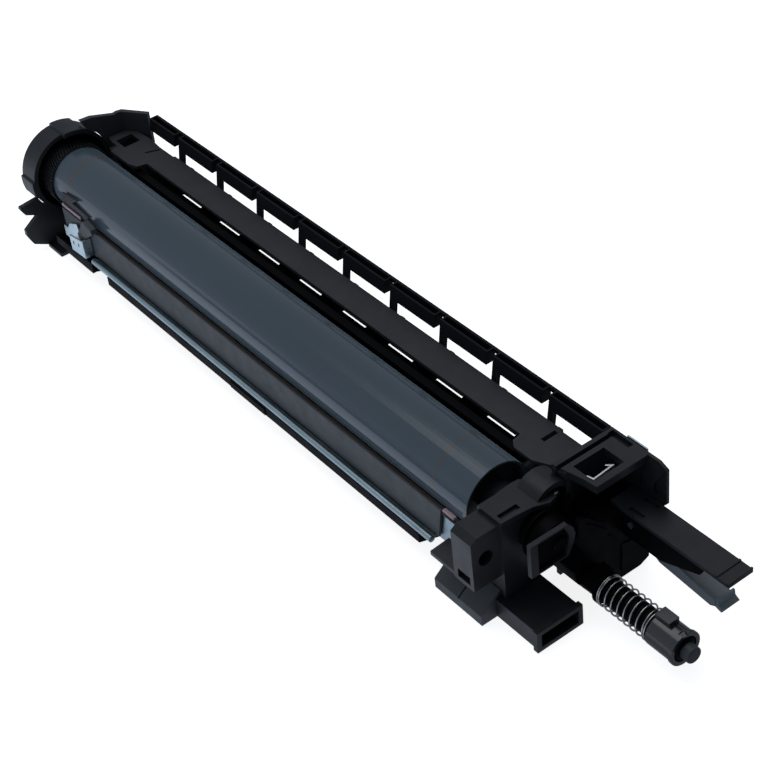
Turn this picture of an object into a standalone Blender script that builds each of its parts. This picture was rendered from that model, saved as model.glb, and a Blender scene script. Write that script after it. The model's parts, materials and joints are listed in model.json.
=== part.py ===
# Printer drum unit: a long imaging cartridge with its drum, charge roller, cleaning blade and waste screw.
#
# The model is drawn in the drum's own frame: X runs along the drum axis, with zero at the drum's near end,
# Y points to the rail side and Z is up. Sizes are in millimetres here and become metres in the objects.
# At the end everything is parented to an empty that puts the middle of the footprint at the world's origin.

import math

import bmesh
import bpy
from mathutils import Matrix, Vector

MM = 0.001
WELD = 0.000005
GAP = 0.3

# Drum and what it carries
DRUM_R = 15.0
DRUM_LENGTH = 307.0
TUBE_WALL = 0.8
SHAFT_R = 3.0
SHAFT_TIP_X = 34.7
GEAR_R = 17.5
GEAR_WIDTH = 8.7
GEAR_TEETH = 64
GEAR_TOOTH_HEIGHT = 1.0
GEAR_HELIX = math.radians(20)

# Long frame
WALL = 1.8
BASE_Z = -36.0
FLOOR_Z = -14.3
TRAY_FAR_X = -305.5
TRAY_NEAR_X = 8.4
SIDE_Y = 41.5
TRAY_WALL_TOP = -0.5
BAY = 32.6
FIRST_POST_X = -273.6
POST_COUNT = 9
POST_WIDTH = 2.5
WINDOW_WIDTH = 3.6

# Back rail
RAIL_TOP = 19.0
RAIL_Y = 42.0
RAIL_DEPTH = 6.0
RAIL_FAR_X = -299.3
RAIL_LEAN = 0.16
RAIL_INNER_Y = 37.5

# Charge roller and its cover
CHARGE_R = 5.0
CHARGE_SHAFT_R = 2.5
CHARGE_ANGLE = math.radians(-19.9)
COVER_TOP = 9.0
COVER_THICKNESS = 1.6

# Waste screw and pipe
PIPE_Y = 12.8
PIPE_Z = -24.0
PIPE_R = 5.1
PIPE_BORE = 4.3
SCREW_R = 3.8
SCREW_PITCH = 24.0
COLLAR_X = 43.0
SPRING_R = 6.2
WIRE_R = 0.45
SHUTTER_X = 70.4
SHUTTER_R = 6.7
SHUTTER_LENGTH = 13.4

# Front end
WALL_X = 11.3
BEAM_X = 10.7
BEAM_FRONT_X = 21.5
BEAM_TOP = 12.0
HUMP_R = 9.7
HUMP_AT = (8.0, 6.2)
BOSS_FACE_X = 26.0
WELL_X = 20.0
WELL_R = 19.0
HUB_R = 15.5
HUB_FACE_X = 30.0
BEARING_R = 6.5
HEAD_X = 16.5
HEAD_Y = 12.5
HEAD_FRONT_X = 36.5
HEAD_SLAB = 3.5
PANEL_X = 35.0
ARM_TOP = 0.0
ARM_THICKNESS = 1.6
ARM_TIP_X = 88.5
ARM_Y = (28.5, 40.4)
LEVER_X = 40.3
LEVER_Z = -5.2
LEVER_Y = (30.4, 38.6)

# Rear end
REAR_X = -330.0
SHELL_X = -327.0
SHELL_FRONT_X = -315.0
SHELL_R = 22.3
SHELL_BORE = 19.1

BODY_NAME = "printer_drum_unit"


def start():
    for obj in list(bpy.data.objects):
        bpy.data.objects.remove(obj)
    parts = bpy.data.collections.new(BODY_NAME)
    bpy.context.scene.collection.children.link(parts)
    return parts


PARTS = start()


# Materials

def material(name, colour, roughness, metallic=0.0):
    made = bpy.data.materials.new(name)
    made.use_nodes = True
    shader = made.node_tree.nodes["Principled BSDF"]
    shader.inputs["Base Color"].default_value = (*colour, 1.0)
    shader.inputs["Roughness"].default_value = roughness
    shader.inputs["Metallic"].default_value = metallic
    return made


BLACK = (0.012, 0.012, 0.014)
MATTE_BLACK = (0.018, 0.018, 0.022)
DRUM_BLUE = (0.055, 0.085, 0.105)
ZINC = (0.42, 0.50, 0.53)
STEEL = (0.55, 0.55, 0.53)
GREY = (0.13, 0.17, 0.20)
FELT = (0.62, 0.48, 0.50)
RUBBER = (0.03, 0.03, 0.035)
AMBER = (0.10, 0.06, 0.03)


# Building blocks

def link(obj):
    PARTS.objects.link(obj)
    return obj


def evaluated_mesh(obj):
    graph = bpy.context.evaluated_depsgraph_get()
    return bpy.data.meshes.new_from_object(obj.evaluated_get(graph))


def apply_modifiers(obj):
    mesh = evaluated_mesh(obj)
    obj.modifiers.clear()
    obj.data = mesh
    return obj


def edit(obj, change):
    work = bmesh.new()
    work.from_mesh(obj.data)
    change(work)
    work.to_mesh(obj.data)
    work.free()
    return obj


def weld(work):
    bmesh.ops.remove_doubles(work, verts=work.verts, dist=WELD)
    bmesh.ops.recalc_face_normals(work, faces=work.faces)


AXIS_TURN = {
    "X": (math.pi / 2, 0, math.pi / 2),
    "Y": (math.pi / 2, 0, 0),
    "Z": (0, 0, 0),
}


def prism(name, axis, outline, low, high, holes=()):
    """A flat outline, with its holes, pulled along an axis from low to high.

    The outline is read in (y, z) along X, in (x, z) along Y and in (x, y) along Z.
    """
    curve = bpy.data.curves.new(name, "CURVE")
    curve.dimensions = "2D"
    curve.fill_mode = "BOTH"
    curve.extrude = (high - low) / 2 * MM
    for loop in (outline, *holes):
        spline = curve.splines.new("POLY")
        spline.points.add(len(loop) - 1)
        for point, (a, b) in zip(spline.points, loop):
            point.co = (a * MM, b * MM, 0, 1)
        spline.use_cyclic_u = True
    drawn = link(bpy.data.objects.new(name, curve))
    drawn.rotation_euler = AXIS_TURN[axis]
    middle = (low + high) / 2 * MM
    drawn.location = {"X": (middle, 0, 0), "Y": (0, middle, 0), "Z": (0, 0, middle)}[axis]
    bpy.context.view_layer.update()
    solid = link(bpy.data.objects.new(name, evaluated_mesh(drawn)))
    solid.matrix_world = drawn.matrix_world
    bpy.data.objects.remove(drawn)
    return edit(solid, weld)


def box(name, x, y, z):
    work = bmesh.new()
    bmesh.ops.create_cube(work, size=1)
    size = Vector((x[1] - x[0], y[1] - y[0], z[1] - z[0])) * MM
    bmesh.ops.scale(work, vec=size, verts=work.verts)
    mesh = bpy.data.meshes.new(name)
    work.to_mesh(mesh)
    work.free()
    solid = link(bpy.data.objects.new(name, mesh))
    solid.location = ((x[0] + x[1]) / 2 * MM, (y[0] + y[1]) / 2 * MM, (z[0] + z[1]) / 2 * MM)
    return solid


def rod(name, axis, low, high, radius, at=(0, 0), sides=32):
    """A cylinder along an axis; at holds its place on the two other axes, in their order."""
    work = bmesh.new()
    depth = (high - low) * MM
    bmesh.ops.create_cone(work, cap_ends=True, segments=sides, radius1=radius * MM, radius2=radius * MM,
                          depth=depth)
    mesh = bpy.data.meshes.new(name)
    work.to_mesh(mesh)
    work.free()
    solid = link(bpy.data.objects.new(name, mesh))
    middle = (low + high) / 2
    if axis == "X":
        solid.rotation_euler = (0, math.pi / 2, 0)
        solid.location = (middle * MM, at[0] * MM, at[1] * MM)
    elif axis == "Y":
        solid.rotation_euler = (math.pi / 2, 0, 0)
        solid.location = (at[0] * MM, middle * MM, at[1] * MM)
    else:
        solid.location = (at[0] * MM, at[1] * MM, middle * MM)
    return solid


def turned(name, profile, at=(0, 0), closed=False, steps=48):
    """A profile of (x, radius) points turned about an X axis through (y, z).

    Its points run along the outer side from the +X end to the -X end; a closed one comes back inside.
    """
    mesh = bpy.data.meshes.new(name)
    points = [(radius * MM, 0, x * MM) for x, radius in profile]
    edges = [(i, i + 1) for i in range(len(points) - 1)]
    if closed:
        edges.append((len(points) - 1, 0))
    mesh.from_pydata(points, edges, [])
    solid = link(bpy.data.objects.new(name, mesh))
    screw = solid.modifiers.new("turn", "SCREW")
    screw.steps = screw.render_steps = steps
    screw.use_merge_vertices = True
    screw.merge_threshold = WELD
    solid.rotation_euler = (0, math.pi / 2, 0)
    solid.location = (0, at[0] * MM, at[1] * MM)
    apply_modifiers(solid)
    return edit(solid, weld)


def ring(name, low, high, outer, inner, at=(0, 0), steps=48):
    profile = [(high, outer), (low, outer), (low, inner), (high, inner)]
    return turned(name, profile, at, closed=True, steps=steps)


def combine(target, operation, tools):
    for tool in tools:
        change = target.modifiers.new("shape", "BOOLEAN")
        change.operation = operation
        change.solver = "EXACT"
        change.object = tool
        apply_modifiers(target)
        bpy.data.objects.remove(tool)
    return target


def join(target, *tools):
    return combine(target, "UNION", tools)


def cut(target, *tools):
    return combine(target, "DIFFERENCE", tools)


def repeat(obj, count, step):
    """Copies of one solid along X, kept apart from each other, as one tool for a cut or a union."""
    array = obj.modifiers.new("row", "ARRAY")
    array.count = count
    array.use_relative_offset = False
    array.use_constant_offset = True
    turn = obj.rotation_euler.to_matrix().inverted()
    array.constant_offset_displace = turn @ Vector((step * MM, 0, 0))
    return apply_modifiers(obj)


def finish(obj, name, look, smooth=35):
    obj.name = name
    obj.data.name = name
    obj.data.materials.clear()
    obj.data.materials.append(look)
    obj.data.shade_smooth()
    obj.data.set_sharp_from_angle(angle=math.radians(smooth))
    return obj


def move_origin(obj, x, y, z):
    """Puts an object's origin at a point of its joint axis, without moving its shape."""
    bpy.context.view_layer.update()
    place = Matrix.Translation(Vector((x, y, z)) * MM)
    obj.data.transform(place.inverted() @ obj.matrix_world)
    obj.matrix_world = place
    return obj


# Outlines

def arc(centre, radius, start, end, count):
    """Points on an arc from start to end, in degrees, with both ends."""
    points = []
    for i in range(count + 1):
        angle = math.radians(start + (end - start) * i / count)
        points.append((centre[0] + radius * math.cos(angle), centre[1] + radius * math.sin(angle)))
    return points


def ribbon(path, thickness):
    """The outline of a wall of one thickness whose middle follows a path."""
    sides = ([], [])
    for i, here in enumerate(path):
        before = Vector(path[max(i - 1, 0)])
        after = Vector(path[min(i + 1, len(path) - 1)])
        here = Vector(here)
        ahead = (after - here).normalized() if after != here else (here - before).normalized()
        behind = (here - before).normalized() if before != here else ahead
        along = (ahead + behind).normalized()
        normal = Vector((-along.y, along.x))
        reach = thickness / 2 / max(normal.dot(Vector((-ahead.y, ahead.x))), 0.2)
        sides[0].append(tuple(here + normal * reach))
        sides[1].append(tuple(here - normal * reach))
    return sides[0] + sides[1][::-1]


def rail_inner(z):
    """The inner face of the back rail and its posts leans to the drum as it goes down."""
    return RAIL_INNER_Y - RAIL_LEAN * (RAIL_TOP - z)


def post_x(number):
    return FIRST_POST_X + BAY * number


# Looks shared by several pieces

LOOK_BLACK = material("black_moulding", BLACK, 0.42)
LOOK_MATTE = material("matte_black_moulding", MATTE_BLACK, 0.6)
LOOK_DRUM = material("coated_drum", DRUM_BLUE, 0.22)
LOOK_ZINC = material("zinc_plate", ZINC, 0.35, 0.8)
LOOK_STEEL = material("bright_steel", STEEL, 0.25, 1.0)
LOOK_GREY = material("grey_moulding", GREY, 0.45)
LOOK_FELT = material("felt", FELT, 0.95)
LOOK_RUBBER = material("rubber", RUBBER, 0.7)
LOOK_BLADE = material("blade_rubber", AMBER, 0.5)


# Long frame

def frame_tray():
    near_path = [(-19.9, -21.6), (-19.9, -25.6), (-9.5, -29.9)]
    trough = arc((PIPE_Y, PIPE_Z), 5.9, -90, 0, 6)
    floor = FLOOR_Z - WALL / 2
    wall_y = SIDE_Y - WALL / 2
    far_path = [(PIPE_Y + 5.9, floor), (wall_y, floor), (wall_y, TRAY_WALL_TOP)]
    tray = prism("tray", "X", ribbon(near_path + trough + far_path, WALL), TRAY_FAR_X, TRAY_NEAR_X)

    slot_x = post_x(0) - 6.9
    slots = box("slot", (slot_x, slot_x + 18.2), (35.5, 38.3), (floor - 5, floor + 5))
    rib_x = slot_x + 30.0
    ribs = box("rib", (rib_x, rib_x + 1.5), (33.0, 35.0), (floor, COVER_TOP - COVER_THICKNESS - GAP))
    boss_z = (-29.6, -13.5)
    far_boss = box("boss", (-290, -274), (-15.7, -8.0), boss_z)
    near_boss = box("boss", (-23.7, -10), (-15.7, -8.0), boss_z)
    lip_end = box("end", (-24, TRAY_NEAR_X + 1), (-25, -11), (-35, -15))
    shoe_end = box("end", (-9.3, TRAY_NEAR_X + 1), (-25, -11), (-35, -15))
    lip_gap = box("gap", (-271, -257), (-25, -16), (-30, -15))
    far_lip = box("lip", (-301, -271.5), (-20.9, -19.2), (-28.0, -24.0))
    cut(tray, lip_end, repeat(slots, POST_COUNT, BAY), lip_gap)
    join(tray, repeat(ribs, POST_COUNT - 1, BAY), far_boss, near_boss, far_lip)
    cut(tray, shoe_end)
    screw_seats(tray)
    return finish(tray, "frame_tray", LOOK_BLACK)


def screw_seats(tray):
    for x in BLADE_SCREWS:
        cut(tray, rod("seat", "Y", -16, -10.5, 1.5 + GAP, (x, BLADE_SCREW_Z), 16))


# Back rail

def back_rail():
    inner = RAIL_INNER_Y
    bar = box("bar", (RAIL_FAR_X, HEAD_X - GAP), (RAIL_Y - 2.1, RAIL_Y), (RAIL_TOP - 3.6, RAIL_TOP))
    block = [(inner, RAIL_TOP), (RAIL_Y - 1, RAIL_TOP), (RAIL_Y - 1, RAIL_TOP - RAIL_DEPTH),
             (rail_inner(RAIL_TOP - RAIL_DEPTH), RAIL_TOP - RAIL_DEPTH)]
    block_length = BAY - WINDOW_WIDTH
    rim = 1.2
    foot = TRAY_WALL_TOP + GAP
    post = [(rail_inner(14), 14), (rail_inner(14) + 2.4, 14), (rail_inner(2) + 2.4, 2), (SIDE_Y, 1),
            (SIDE_Y, foot), (rail_inner(foot), foot)]
    pocket_y = (inner + rim, RAIL_Y - 2.1)
    pocket_z = (RAIL_TOP - 3.5, RAIL_TOP + 1)

    middle = POST_COUNT - 1
    blocks = prism("block", "X", block, post_x(0), post_x(0) + block_length)
    pockets = box("pocket", (post_x(0) + rim, post_x(0) + block_length - rim), pocket_y, pocket_z)
    posts = prism("post", "X", post, post_x(0), post_x(0) + POST_WIDTH)
    first = prism("block", "X", block, RAIL_FAR_X, post_x(0) - WINDOW_WIDTH)
    first_pocket = box("pocket", (RAIL_FAR_X + rim, post_x(0) - WINDOW_WIDTH - rim), pocket_y, pocket_z)
    last = prism("block", "X", block, post_x(middle), HEAD_X - GAP)
    last_pocket = box("pocket", (post_x(middle) + rim, HEAD_X - GAP - rim), pocket_y, pocket_z)
    join(bar, repeat(blocks, middle, BAY), first, last, repeat(posts, POST_COUNT, BAY))
    cut(bar, repeat(pockets, middle, BAY), first_pocket, last_pocket)
    return finish(bar, "back_rail", LOOK_BLACK)


# Drum

def drum_tube():
    tube = ring("tube", -DRUM_LENGTH, 0, DRUM_R, DRUM_R - TUBE_WALL, steps=64)
    return finish(tube, "drum_tube", LOOK_DRUM)


def gear_outline(teeth, outer, height):
    points = []
    for i in range(teeth):
        for share, radius in ((0.0, outer - height), (0.25, outer - height), (0.4, outer), (0.75, outer)):
            angle = 2 * math.pi * (i + share) / teeth
            points.append((radius * math.cos(angle), radius * math.sin(angle)))
    return points


def slanted_gear(name, teeth, outer, height, width, near_x, at=(0, 0), turn=1):
    """A gear with slanted teeth, its near face at near_x; the twist modifier slants them."""
    gear = prism(name, "Z", gear_outline(teeth, outer, height), -width / 2, width / 2)
    twist = gear.modifiers.new("slant", "SIMPLE_DEFORM")
    twist.deform_method = "TWIST"
    twist.deform_axis = "Z"
    twist.angle = turn * width * math.tan(GEAR_HELIX) / outer
    apply_modifiers(gear)
    gear.rotation_euler = (0, math.pi / 2, 0)
    gear.location = ((near_x - width / 2) * MM, at[0] * MM, at[1] * MM)
    return gear


def drum_gear():
    near_x = -DRUM_LENGTH - GAP
    gear = slanted_gear("gear", GEAR_TEETH, GEAR_R, GEAR_TOOTH_HEIGHT, GEAR_WIDTH, near_x)
    spigot = rod("spigot", "X", near_x - 4, near_x + 10, DRUM_R - TUBE_WALL - GAP, sides=48)
    far_hub = rod("hub", "X", near_x - GEAR_WIDTH - 3, near_x - 4, 7, sides=32)
    bore = rod("bore", "X", near_x - 20, near_x + 20, SHAFT_R + GAP, sides=24)
    join(gear, spigot, far_hub)
    cut(gear, bore)
    return finish(gear, "drum_gear", LOOK_BLACK, 25)


def drum_flange():
    outer = DRUM_R - TUBE_WALL - GAP
    bore = SHAFT_R + GAP
    profile = [(4.8, 7), (-4, 7), (-4, outer), (-14, outer), (-14, outer - 1.5), (-6, outer - 1.5),
               (-6, 5), (-14, 5), (-14, bore), (4.8, bore)]
    return finish(turned("flange", profile, closed=True, steps=32), "drum_flange", LOOK_BLACK)


def drum_shaft():
    profile = [(SHAFT_TIP_X, 0), (SHAFT_TIP_X, SHAFT_R - 0.6), (SHAFT_TIP_X - 0.6, SHAFT_R),
               (REAR_X - 2.4, SHAFT_R), (REAR_X - 3, SHAFT_R - 0.6), (REAR_X - 3, 0)]
    return finish(turned("shaft", profile, steps=24), "drum_shaft", LOOK_STEEL)


def bearing(name, low, high):
    made = ring(name, low, high, BEARING_R - GAP, SHAFT_R + GAP, steps=32)
    return finish(made, name, LOOK_STEEL)


# Blade side

BLADE_SCREWS = (-281.5, -17.0)
BLADE_SCREW_Z = -15.6


def blade_holder():
    leg = prism("leg", "Y", [(-297, -20.6), (-8, -20.6), (-8, -4), (-297, -4)], -17.6, -16.0,
                holes=[arc((x, BLADE_SCREW_Z), 1.5 + GAP, 0, 330, 11) for x in BLADE_SCREWS])
    tip = -20.7
    flange = prism("flange", "Z", [(-17, -17.0), (-275, -17.0)] + arc((-273.2, tip + 1.8), 1.8, 180, 270, 4)
                   + [(-17, tip)], -21.3, -20.0)
    join(leg, flange)
    return finish(leg, "blade_holder", LOOK_ZINC)


def cleaning_blade():
    lip = [(-15.7, -12.9), (-14.2, -12.9), (-14.2, -6.1), (-15.7, -6.9)]
    return finish(prism("blade", "X", lip, -299, -6), "cleaning_blade", LOOK_BLADE)


def blade_screw(name, x, head_y):
    screw = rod(name, "Y", head_y - 2.2, head_y, 3.2, (x, BLADE_SCREW_Z), 8)
    join(screw, rod("thread", "Y", head_y - 1, -11, 1.5, (x, BLADE_SCREW_Z), 12))
    return finish(screw, name, LOOK_STEEL)


def earth_clip():
    outline = [(-296.5, -24.6), (-284, -24.6), (-284, -19.4), (-273, -19.4), (-269.5, -8.5), (-279, -8.5),
               (-282, -11), (-288, -8), (-294, -8)]
    hole = arc((BLADE_SCREWS[0], BLADE_SCREW_Z), 1.5 + GAP, 0, 330, 11)
    window = [(-293.5, -22.9), (-289, -22.9), (-289, -19.8), (-293.5, -19.8)]
    plate = prism("clip", "Y", outline, -18.9, -17.9, holes=[hole, window])
    return finish(plate, "earth_clip", LOOK_ZINC)


def end_seal(name, low, high):
    pad = [(-17.5, -3.7), (-15.6, -3.7), (-15.6, -2.4), (-17.5, -2.4)]
    return finish(prism(name, "X", pad, low, high), name, LOOK_FELT)


# Charge side

def charge_axis():
    reach = DRUM_R + CHARGE_R + GAP
    return (reach * math.cos(CHARGE_ANGLE), reach * math.sin(CHARGE_ANGLE))


def charge_case():
    outline = [(16.3, 6.0), (19.8, 6.0), (19.8, 4.6), (18.9, 4.6), (18.9, 1.2), (22.7, 0.2), (26.4, -4.0),
               (26.4, -13.9), (16.2, -13.9), (16.2, -12.5), (25.0, -12.5), (25.0, -4.5), (22.0, -1.0),
               (17.5, 0.2), (17.5, 4.6), (16.3, 4.6)]
    return finish(prism("case", "X", outline, -299, -10), "charge_case", LOOK_BLACK)


def charge_roller():
    roller = ring("roller", -297, -13, CHARGE_R, CHARGE_SHAFT_R + GAP, charge_axis(), steps=32)
    return finish(roller, "charge_roller", LOOK_RUBBER)


def charge_shaft():
    return finish(rod("core", "X", -303, -7, CHARGE_SHAFT_R, charge_axis(), 20), "charge_shaft", LOOK_STEEL)


def charge_bearing(name, low, high):
    y, z = charge_axis()
    block = box(name, (low, high), (y - 3.75, y + 5.2), (-12.2, z + 4.6))
    cut(block, rod("bore", "X", low - 1, high + 1, CHARGE_SHAFT_R + GAP, (y, z), 20))
    return finish(block, name, LOOK_GREY)


def charge_cover():
    plate = [(-314.8, 21.6), (-311, 20.6), (-305, 20.3), (-303, 15.8), (-287, 15.8), (-281.8, 17.4), (-280.4, 21.8),
             (-12.6, 21.8), (-11.9, 18.1), (-8.6, 15.8), (1.5, 15.8), (9.0, 19.4), (9.0, 34.6),
             (-2.9, 34.6), (-3.4, 35.3), (-275.8, 35.3), (-276.6, 34.4), (-287.4, 34.4), (-297.5, 35.4),
             (-308.8, 34.5), (-314.8, 30.5)]
    square = [(-309.4, 22.4), (-301.0, 22.4), (-301.0, 31.2), (-309.4, 31.2)]
    far_slot = [(-290.0, 26.6), (-288.8, 26.7), (-286.0, 33.2), (-287.2, 33.3)]
    near_slot = [(-5.2, 26.0), (-3.2, 26.0), (-3.2, 33.0), (-5.2, 33.0)]
    made = prism("cover", "Z", plate, COVER_TOP - COVER_THICKNESS, COVER_TOP,
                 holes=[square, far_slot, near_slot])
    under = COVER_TOP - COVER_THICKNESS
    for low, high in ((-299, -284), (-9, 1)):
        join(made, box("seat", (low, high), (16.6, 19.4), (6.0 + GAP, under + 0.5)))
    return finish(made, "charge_cover", LOOK_MATTE)


# Front end

def front_housing():
    wall = [(-16, -25.6), (-16, BEAM_TOP), (10, BEAM_TOP), (10, -11.6), (4.6, -17.6), (-4, -25.6)]
    housing = prism("wall", "X", wall, BEAM_X, BEAM_FRONT_X)
    hollow = [(-13, -23.6), (-13, BEAM_TOP - 2), (8, BEAM_TOP - 2), (8, -10.8), (2.6, -16.8), (-5, -23.6)]
    cut(housing, prism("hollow", "X", hollow, BEAM_X - 1, WELL_X - 3))
    hump = rod("hump", "X", BEAM_X + 0.4, BOSS_FACE_X, HUMP_R, HUMP_AT, 48)
    well = rod("well", "X", WELL_X, BOSS_FACE_X + 1, WELL_R, sides=64)
    hub = rod("hub", "X", WELL_X - 1.5, HUB_FACE_X, HUB_R, sides=64)
    bearing_boss = rod("boss", "X", WALL_X, WELL_X - 0.5, BEARING_R + 2.5, sides=32)
    slot = box("slot", (17.6, 20.2), (-14.7, -5.7), (BEAM_TOP - 1.5, 13))
    block = prism("block", "X", [(-29, -15), (-14, -15), (-14, 10), (-26, 10), (-29, 8)], 8.7, 20)
    block_hole = rod("hole", "X", 12, 21, 3.3, (-22.7, -1.7), 24)
    clip_gap = box("gap", (11, 18), (-30, -27), (-13, -9))
    shaft_bore = rod("bore", "X", WALL_X - 2, HUB_FACE_X + 1, BEARING_R, sides=32)
    join(housing, hump)
    cut(housing, well)
    join(housing, hub, bearing_boss, block)
    cut(housing, slot, block_hole, clip_gap, shaft_bore)
    return finish(housing, "front_housing", LOOK_BLACK)


def coupling_cover():
    outline = [(-14, -7), (3.3, -7), (6.8, -3.0), (6.8, 3.6), (4.2, 7), (-14, 7)]
    plate = prism("cover", "X", outline, HUB_FACE_X + GAP, PANEL_X)
    pocket = [(-12.6, -5.6), (2.6, -5.6), (5.4, -2.4), (5.4, 3.0), (3.5, 5.6), (-12.6, 5.6)]
    cut(plate, prism("pocket", "X", pocket, PANEL_X - 2.4, PANEL_X + 1))
    cut(plate, rod("bore", "X", HUB_FACE_X - 1, PANEL_X + 1, SHAFT_R + GAP, sides=24))
    return finish(plate, "coupling_cover", LOOK_BLACK)


def head_frame():
    slab_z = (RAIL_TOP - HEAD_SLAB, RAIL_TOP)
    plan = [(HEAD_X, HEAD_Y), (30, 15.3), (HEAD_FRONT_X, 16), (HEAD_FRONT_X, RAIL_Y), (HEAD_X, RAIL_Y)]
    window = [(22.8, 17.3), (33.5, 17.3), (33.5, 32), (22.8, 32)]
    head = prism("slab", "Z", plan, *slab_z, holes=[window])
    back = box("back", (HEAD_X, HEAD_X + 2), (HEAD_Y, RAIL_Y), (BASE_Z, RAIL_TOP - 1))
    side = [(HEAD_X, -1.3), (44, -1.3), (46, 1), (46, 15), (40, RAIL_TOP), (HEAD_X, RAIL_TOP)]
    slant = [(32.0, 1.0), (33.2, 1.0), (35.4, 15.6), (33.6, 15.6)]
    hole = [(39.7, 2.4), (44.6, 1.4), (44.6, 15.0), (39.7, 6.8)]
    right = prism("side", "Y", side, 40.7, RAIL_Y, holes=[slant, hole])
    left = box("left", (HEAD_X, PANEL_X), (13.4, 15.8), (8, RAIL_TOP - 1))
    groove = box("groove", (HEAD_X + 2, HEAD_X + 4), (HEAD_Y - 1, 41), (RAIL_TOP - 2.2, RAIL_TOP + 1))
    recess = box("recess", (HEAD_X + 1.5, 29), (38.2, 40.9), (RAIL_TOP - 2.2, RAIL_TOP + 1))
    join(head, back, right, left)
    cut(head, groove, recess)
    boss_space = rod("space", "X", BEAM_X - 1, BOSS_FACE_X + GAP, HUMP_R + GAP, HUMP_AT, 48)
    hub_space = rod("space", "X", BEAM_X - 1, HUB_FACE_X + GAP, HUB_R + GAP, sides=64)
    pipe_hole = rod("hole", "X", HEAD_X - 1, HEAD_X + 4, PIPE_R + GAP, (PIPE_Y, PIPE_Z), 24)
    cut(head, boss_space, hub_space, pipe_hole)
    return finish(head, "head_frame", LOOK_BLACK)


def front_panel():
    top = ARM_TOP - ARM_THICKNESS - GAP
    outline = [(11, top), (11, -12), (5.5, -18), (5.5, -31), (9, BASE_Z), (38, BASE_Z), (42.5, -34),
               (42.5, top)]
    panel = prism("panel", "X", outline, HEAD_X + 2 + GAP, PANEL_X)
    hollow = [(13.5, top - 2), (13.5, -13), (20.5, -13), (20.5, -32), (38, -32), (40.5, top - 2)]
    cut(panel, prism("hollow", "X", hollow, HEAD_X, PANEL_X - 2.2))
    ridge = ribbon([(23, -8.2), (23.8, -17.4), (29.2, -23.6), (34.8, -15.6)], 0.9)
    join(panel, prism("ridge", "X", ridge, PANEL_X - 1, PANEL_X + 0.7))
    post = ribbon([(29.2, -23.6), (29.2, -35)], 0.9)
    join(panel, prism("ridge", "X", post, PANEL_X - 1, PANEL_X + 0.7))
    boss_space = rod("space", "X", BEAM_X - 1, BOSS_FACE_X + GAP, HUMP_R + GAP, HUMP_AT, 48)
    hub_space = rod("space", "X", BEAM_X - 1, HUB_FACE_X + GAP, HUB_R + GAP, sides=64)
    pipe_hole = rod("hole", "X", HEAD_X - 1, PANEL_X + 2, PIPE_R + GAP, (PIPE_Y, PIPE_Z), 24)
    cut(panel, boss_space, hub_space, pipe_hole)
    return finish(panel, "front_panel", LOOK_BLACK)


def base_shoe():
    outline = [(-26, BASE_Z), (-26, BASE_Z + 4.8), (-16.3, BASE_Z + 12.7), (-16.3, BASE_Z)]
    shoe = prism("shoe", "X", outline, -9, 18.6)
    seam = box("seam", (5, 5.5), (-27, -14), (BASE_Z + 4.2, BASE_Z + 20))
    hollow = prism("hollow", "X", [(-23.8, BASE_Z + 1.8), (-23.8, BASE_Z + 4), (-18.2, BASE_Z + 8.6),
                                   (-18.2, BASE_Z + 1.8)], -12, 16)
    cut(shoe, hollow, seam)
    return finish(shoe, "base_shoe", LOOK_BLACK)


def wing_guide():
    outline = [(-27.2, -15.4), (-27.2, -17.4), (-18, -20.8), (-18, -14.6)]
    return finish(prism("wing", "X", outline, -8, 8.4), "wing_guide", LOOK_BLACK)


def duct_box():
    outer = [(-18.9, BASE_Z + 0.6), (1.6, BASE_Z + 0.6), (1.6, -26.6), (-18.9, -26.6)]
    rim = [(-19.7, BASE_Z), (2.4, BASE_Z), (2.4, -26.0), (-19.7, -26.0)]
    inside = [(-17.5, BASE_Z + 2), (0.2, BASE_Z + 2), (0.2, -28), (-17.5, -28)]
    duct = prism("duct", "X", outer, 19, 42.5)
    join(duct, prism("rim", "X", rim, 40.0, 42.5))
    cut(duct, prism("inside", "X", inside, 22, 45))
    return finish(duct, "duct_box", LOOK_BLACK)


def grip_arm():
    plan = [(29.5, ARM_Y[0]), (ARM_TIP_X, ARM_Y[0]), (ARM_TIP_X, ARM_Y[1]), (29.5, ARM_Y[1])]
    arm = prism("arm", "Z", plan, ARM_TOP - ARM_THICKNESS, ARM_TOP)
    ridge = box("ridge", (82.0, 83.0), ARM_Y, (ARM_TOP - 0.5, ARM_TOP + 0.5))
    lip = box("lip", (ARM_TIP_X - 0.8, ARM_TIP_X), ARM_Y, (ARM_TOP - 0.5, ARM_TOP + 0.7))
    web = prism("web", "Y", [(PANEL_X + GAP, ARM_TOP - 1), (PANEL_X + GAP, -12.5), (52, -12.5), (75, ARM_TOP - 2),
                             (75, ARM_TOP - 1)], ARM_Y[0], ARM_Y[0] + 1.5,
                holes=[arc((LEVER_X, LEVER_Z), 1.3 + GAP, 0, 330, 11)])
    join(arm, ridge, lip, web)
    for y in (30.4, 37.4):
        cut(arm, box("slot", (37, 44), (y, y + 1.9), (ARM_TOP - 1.0, ARM_TOP + 1)))
    return finish(arm, "grip_arm", LOOK_BLACK)


def release_lever():
    side = arc((LEVER_X, LEVER_Z), 3.0, 60, 240, 8) + [(52, -17.4), (83, -19.6), (83, -17.6), (66, -11.2)]
    hole = arc((LEVER_X, LEVER_Z), 1.3 + GAP, 0, 330, 11)
    lever = prism("side", "Y", side, LEVER_Y[0], LEVER_Y[0] + 1.2, holes=[hole])
    plate = [(52.5, -17.2), (83, -19.4), (89, -21.5), (89.4, -20.2), (83.4, -18.2), (83.2, -16.6),
             (82.2, -16.6), (82, -18.1), (52.5, -16.0)]
    join(lever, prism("plate", "Y", plate, LEVER_Y[0] + 0.4, LEVER_Y[1]))
    move_origin(lever, LEVER_X, LEVER_Y[0], LEVER_Z)
    return finish(lever, "release_lever", LOOK_GREY)


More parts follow.
